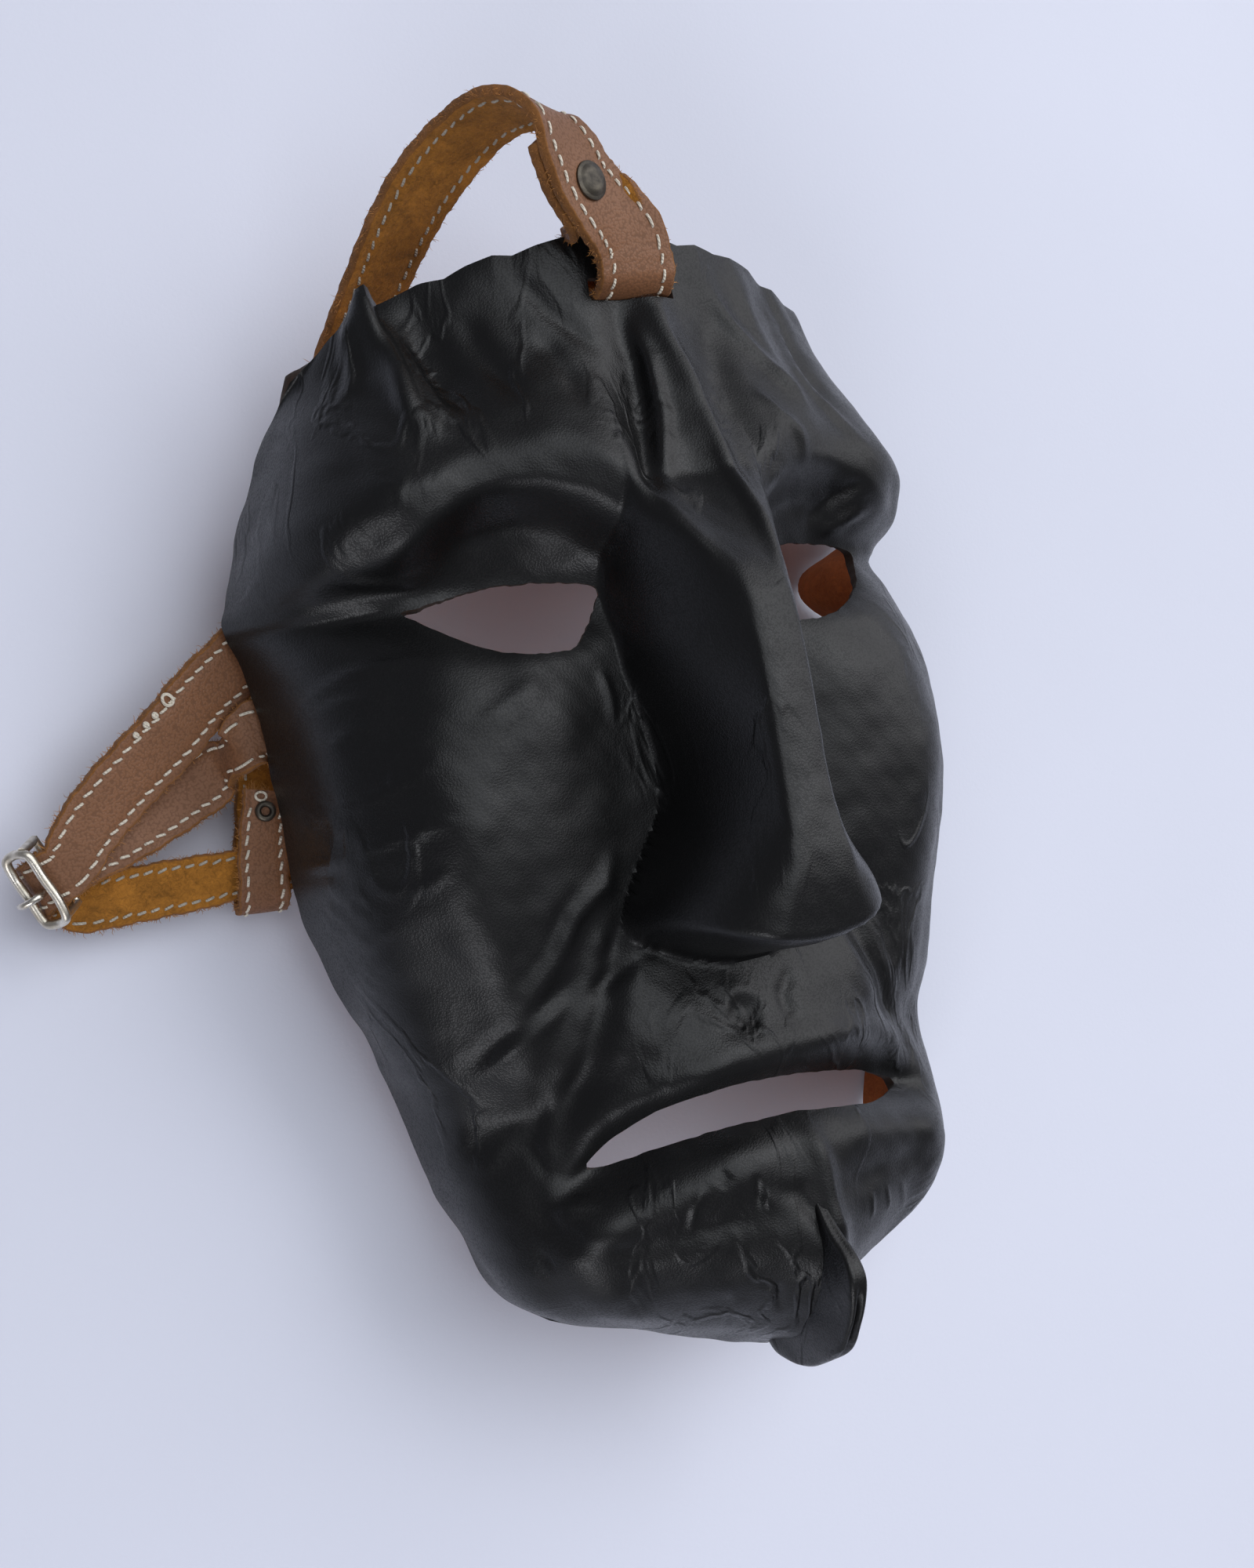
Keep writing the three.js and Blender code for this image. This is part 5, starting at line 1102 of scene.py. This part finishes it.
def stitch(strap, run, x, sign, slant):
    """Points and faces of one stitch that lies on a side of a strap with its ends in their holes."""
    z = sizes()
    u = np.array([-1, -0.82, -0.4, 0, 0.4, 0.82, 1])
    centre, across, out, *_ = strap.at(run + u * z.stitch_length / 2)
    sunk = 0.14 if sign > 0 else 0.3
    high = STRAP_THICK / 2 - sunk + np.array([-0.5, 0.1, 0.24, 0.28, 0.24, 0.1, -0.5])
    size = z.thread_radius * np.array([0.55, 0.9, 1.02, 1, 1.02, 0.9, 0.55])
    middle = centre + across * (x + slant * u)[:, None] + out * (sign * high)[:, None]
    cosine, sine = circle(7)
    rings = [m + r * (cosine * a * 0.95 + sine * o * 0.8) for m, r, a, o in zip(middle, size, across, out)]
    return np.concatenate(rings), [f[::-1] for f in ring_faces(len(u), 7)]


def thread_ring(strap, run, x, radius, thick):
    """Small knot ring of thread that lies on the grain side."""
    centre, across, out, tangent, _ = [a[0] for a in strap.at([run])]
    cosine, sine = circle(20)
    high = STRAP_THICK / 2 + 0.3 + 0.24 * sine * cosine
    path = centre + across * (x + radius * cosine) + tangent * (radius * 0.8 * sine) + out * high
    return tube(path, thick, 8, True)


def stitching_piece(name, strap, knots=()):
    """Two rows of saddle stitches on both sides of a strap along its running length, and knots."""
    z = sizes()
    low, high = 2, strap.run[-1] - 1
    parts = []
    for k in range(int((high - low) / z.stitch_pitch)):
        run = low + (k + 0.5) * z.stitch_pitch
        width = float(np.interp(run, strap.run, strap.width))
        slant = 0.26 + 0.12 * math.sin(k * 1.7 + low)
        for side in (-1, 1):
            x = side * width * (0.5 - z.margin) + 0.08 * math.sin(k * 2.9 + side)
            # The stitches on the suede side take the darker copy of the thread as painted shade.
            for sign, kind in ((1, 0), (-1, 1)):
                parts.append((*stitch(strap, run, x, sign, slant), kind))
    parts += [(*thread_ring(strap, *knot), 0) for knot in knots]
    new_piece(name, *merge(parts), ("cream_thread", "dull_thread"), 80, "strap_leather")


def fibre_piece(name, strap, low, high, seed, tuft=0):
    """Loose suede fibres along the cut edges of a strap, and a tuft of them at its open end."""
    rng = np.random.default_rng(seed)
    count = int((high - low) * sizes().fibres)
    runs = rng.uniform(low, high, count * 2)
    edge = np.repeat([-1.0, 1.0], count)
    centre, across, out, tangent, width = strap.at(runs)
    depth = rng.uniform(-1.05, 0.5, len(runs))
    root = centre + across * (edge * (width / 2 - 0.15))[:, None] + out * depth[:, None]
    lean = rng.normal(0, 0.9, len(runs))
    rise = rng.normal(-0.25, 0.7, len(runs))
    aim = unit(across * edge[:, None] + tangent * lean[:, None] + out * rise[:, None])
    length = rng.gamma(2.2, 0.28, len(runs)) + 0.3
    if tuft:
        c, a, o, t, w = [v[0] for v in strap.at([strap.run[-1]])]
        x = rng.uniform(-0.5, 0.5, tuft) * w
        root = np.concatenate([root, c + x[:, None] * a + rng.uniform(-1, 0.4, tuft)[:, None] * o])
        aim = np.concatenate([aim, unit(t + a * rng.normal(0, 0.5, tuft)[:, None]
                                        + o * rng.normal(0, 0.5, tuft)[:, None])])
        length = np.concatenate([length, rng.gamma(2.4, 0.45, tuft) + 0.4])
    length = np.minimum(length, 2.6)[:, None]
    bend = unit(rng.normal(0, 1, root.shape)) * length * 0.25
    side = unit(np.cross(aim, rng.normal(0, 1, root.shape)))
    other = np.cross(aim, side)
    # A fibre is a three-sided stem with a bend half way and a pointed end.
    thick = 0.085
    corners = []
    for place, size in ((root, thick), (root + aim * length * 0.55 + bend, thick * 0.7)):
        for angle in (0, 2.094, 4.189):
            corners.append(place + size * (math.cos(angle) * side + math.sin(angle) * other))
    corners.append(root + aim * length + bend * 0.4)
    points = np.stack(corners, 1).reshape(-1, 3)
    points[:, 2] = np.maximum(points[:, 2], 0.15 + SHIFT[2])
    stem = [[0, 2, 1]]
    for c, d in ((0, 1), (1, 2), (2, 0)):
        stem += [[c, d, 3 + d, 3 + c], [3 + c, 3 + d, 6]]
    faces = [[7 * k + corner for corner in face] for k in range(len(root)) for face in stem]
    new_piece(name, points, faces, 0, ("loose_fibre",), 80, "strap_leather")


def closed_curve(points, count):
    """Even closed spline through points."""
    points = np.asarray(points, float)
    wrapped = np.vstack([points[-3:], points, points[:3]])
    span = len(wrapped) - 1
    dense = catmull(wrapped, np.linspace(3 / span, (3 + len(points)) / span, 8 * count, endpoint=False))
    loop = np.vstack([dense, dense[:1]])
    run = np.concatenate([[0], np.cumsum(np.linalg.norm(np.diff(loop, axis=0), axis=1))])
    return interp_columns(np.linspace(0, run[-1], count, endpoint=False), run, loop)


def buckle_pieces():
    """Wire frame of the buckle with its hidden bar, and the prong."""
    half = BUCKLE_WIDTH / 2
    middle, shift = (NEAR + FAR) / 2, (NEAR_SHIFT + FAR_SHIFT) / 2
    straight = half - 2.8
    rail = [(RAIL_R, NEAR, NEAR_SHIFT + s) for s in (-straight, 0, straight)]
    rail += [(RAIL_R * 0.97, NEAR + 7, shift + half - 0.5), (RAIL_R * 0.9, middle, shift + half),
             (RAIL_R * 0.97, FAR - 7, shift + half - 0.5)]
    rail += [(RAIL_R, FAR, FAR_SHIFT + s) for s in (straight, 0, -straight)]
    rail += [(RAIL_R * 0.97, FAR - 7, shift - half + 0.5), (RAIL_R * 0.9, middle, shift - half),
             (RAIL_R * 0.97, NEAR + 7, shift - half + 0.5)]
    parts = [(*tube(closed_curve([round_bar(*p) for p in rail], 150), WIRE_R, 16, True), 0)]
    shift -= 0.4
    for side in (-1, 1):
        place = shift + side * (half - 0.5)
        top = round_bar(RAIL_R * 0.97, NEAR + 5, place)
        t = np.linspace(0, 1, 12)[:, None]
        parts.append((*tube(top * (1 - t) + on_buckle(0, place, 0) * t, BAR_R, 12), 0))
    bar = [on_buckle(0, shift + v, 0) for v in np.linspace(-half, half, 20)]
    parts.append((*tube(bar, BAR_R, 14), 0))
    new_piece("buckle_wire", *merge(parts), ("pale_nickel",), 45, "nickel", "buckle_frame")
    prong = [(2.2, PRONG_ANGLE), (6, PRONG_ANGLE), (9, PRONG_ANGLE + 2), (10.9, FAR - 8), (10.8, FAR + 6)]
    t = np.linspace(0, 1, 60)
    size = 0.88 * (1 - 0.35 * t**3)
    size[-3:] *= (0.95, 0.8, 0.5)
    path = catmull([round_bar(r, a, PRONG_SIDE) for r, a in prong], t)
    new_piece("buckle_tongue", *tube(path, size, 14), 0, ("pale_nickel",), 60, "nickel", "buckle_prong")


def rivet_pieces(head, front):
    """Domed cap on the crown of the strap, and the rolled tube end on the tab."""
    for name, node, strap, place, grip, top, sides, bore, finishes in (
            ("crown_cap", "crown_rivet", front, CROWN_RIVET_AT, 2 * STRAP_THICK + 3 * GAP + 0.25, CAP, 56,
             0, ("dark_bronze",)),
            ("tab_tube", "tab_rivet", head, TAB_RIVET_AT, STRAP_THICK + 2 * GAP, ROLL, 48,
             1.15, ("dark_bronze", "rivet_bore"))):
        k = strap.nearest(place)
        at = strap.centre[k] + strap.out[k] * (STRAP_THICK / 2 + GAP)
        low = [(r, h - grip) for r, h in LOWER_CAP]
        points, faces = turned(low + top, at, strap.out[k], sides)
        # Faces inside the bore radius, the inner wall and floor of the rolled end, take painted shade.
        kinds = [int(np.linalg.norm(points[f] - at, axis=1).max() < bore) for f in faces]
        new_piece(name, points, faces, kinds, finishes, 40, "bronze", node)


# Operators

class MASK_OT_face(bpy.types.Operator):
    """Make the moulded face with its folds, openings and lining, and the keel on the chin"""
    bl_idname = "mask.face"
    bl_label = "Face"

    def execute(self, context):
        shell_piece()
        keel_piece()
        return {"FINISHED"}


class MASK_OT_straps(bpy.types.Operator):
    """Make the three straps of the harness"""
    bl_idname = "mask.straps"
    bl_label = "Straps"

    def execute(self, context):
        strap_piece("crown_strap", head_strap()[0], "head_strap")
        strap_piece("back_strap", rear_strap(), "rear_strap")
        strap_piece("loop_strap", buckle_strap(), "buckle_strap")
        return {"FINISHED"}


class MASK_OT_stitching(bpy.types.Operator):
    """Sew the thread along both margins of every strap"""
    bl_idname = "mask.stitching"
    bl_label = "Stitching"

    def execute(self, context):
        head, rear = head_strap()[0], rear_strap()
        tab = head.run[head.nearest(TAB_RIVET_AT)]
        wide = rear.run[rear.nearest(WIDE_RUN[4][:3])]
        stitching_piece("crown_strap_thread", head, [(tab + 3.2, -1.2, 1.2, 0.3)])
        stitching_piece("back_strap_thread", rear, [
            (wide - 7.2, -6.1, 1.4, 0.36), (wide - 11.9, -6.1, 0.42, 0.46), (wide - 15, -6.1, 0.42, 0.44),
            (wide - 18.2, -6.1, 0.4, 0.4)])
        stitching_piece("loop_strap_thread", buckle_strap())
        return {"FINISHED"}


class MASK_OT_fibres(bpy.types.Operator):
    """Raise loose fibres along the cut edges of the straps"""
    bl_idname = "mask.fibres"
    bl_label = "Edge Fibres"

    def execute(self, context):
        head, rear, loop = head_strap()[0], rear_strap(), buckle_strap()
        fibre_piece("crown_strap_fibres", head, 1, head.run[-1] - 0.5, 3, 60)
        fibre_piece("back_strap_fibres", rear, 1, rear.run[-1] - 1, 5)
        fibre_piece("loop_strap_fibres", loop, 1, loop.run[-1] - 1, 8)
        return {"FINISHED"}


class MASK_OT_hardware(bpy.types.Operator):
    """Make the buckle, its prong and the rivets"""
    bl_idname = "mask.hardware"
    bl_label = "Buckle and Rivets"

    def execute(self, context):
        buckle_pieces()
        rivet_pieces(*head_strap())
        return {"FINISHED"}


class MASK_OT_stage(bpy.types.Operator):
    """Lay the pale backdrop and place the lights and the camera"""
    bl_idname = "mask.stage"
    bl_label = "Stage"

    def execute(self, context):
        scene = context.scene
        scene.view_settings.view_transform = "Standard"

        def place(name, data, at):
            thing = bpy.data.objects.new(name, data)
            thing.location = at
            scene.collection.objects.link(thing)
            return thing
        mesh = bpy.data.meshes.new("backdrop")
        a = FLOOR_HALF
        mesh.from_pydata([(-a, -a, 0), (a, -a, 0), (a, a, 0), (-a, a, 0)], [], [(0, 1, 2, 3)])
        mesh.materials.append(finish("pale_backdrop"))
        floor = place("backdrop", mesh, (0, 0, FLOOR_Z))
        for name, at, aim, power, width, tint in LIGHTS:
            light = bpy.data.lights.new(name, "AREA")
            light.shape = "RECTANGLE"
            light.size, light.size_y = width
            light.energy = power
            light.color = tint
            holder = place(name, light, at)
            holder.rotation_euler = (Vector(aim) - Vector(at)).to_track_quat("-Z", "Y").to_euler()
        scene.world = bpy.data.worlds.new("soft_room")
        scene.world.use_nodes = True
        tree = scene.world.node_tree
        feed(tree, tree.nodes["Background"], Color=ROOM, Strength=ROOM_LIGHT)
        lens = bpy.data.cameras.new("view")
        lens.sensor_fit = "VERTICAL"
        lens.sensor_height = 36
        lens.lens = CAMERA_LENS
        lens.clip_start = 0.01
        scene.camera = place("view", lens, CAMERA_AT)
        scene.camera.rotation_euler = Euler([math.radians(a) for a in CAMERA_TURN])
        return {"FINISHED"}


class MASK_PT_panel(bpy.types.Panel):
    """Lists the pieces of the mask with their sizes and colours"""
    bl_label = "Carnival Face Mask"
    bl_idname = "MASK_PT_panel"
    bl_space_type = "VIEW_3D"
    bl_region_type = "UI"
    bl_category = "Mask"

    def draw(self, context):
        for group in (context.scene.mask_sizes, context.scene.mask_colours):
            box = self.layout.box()
            for name in group.__annotations__:
                box.prop(group, name)
        for operator in OPERATORS:
            self.layout.operator(operator.bl_idname)


OPERATORS = (MASK_OT_face, MASK_OT_straps, MASK_OT_stitching, MASK_OT_fibres, MASK_OT_hardware, MASK_OT_stage)
CLASSES = (MaskSizes, MaskColours, *OPERATORS, MASK_PT_panel)


def register():
    for cls in CLASSES:
        bpy.utils.register_class(cls)
    bpy.types.Scene.mask_sizes = PointerProperty(type=MaskSizes)
    bpy.types.Scene.mask_colours = PointerProperty(type=MaskColours)


def unregister():
    del bpy.types.Scene.mask_colours
    del bpy.types.Scene.mask_sizes
    for cls in reversed(CLASSES):
        bpy.utils.unregister_class(cls)


def main():
    register()
    bpy.ops.mask.face()
    bpy.ops.mask.straps()
    bpy.ops.mask.stitching()
    bpy.ops.mask.fibres()
    bpy.ops.mask.hardware()
    bpy.ops.mask.stage()


if __name__ == "__main__":
    main()
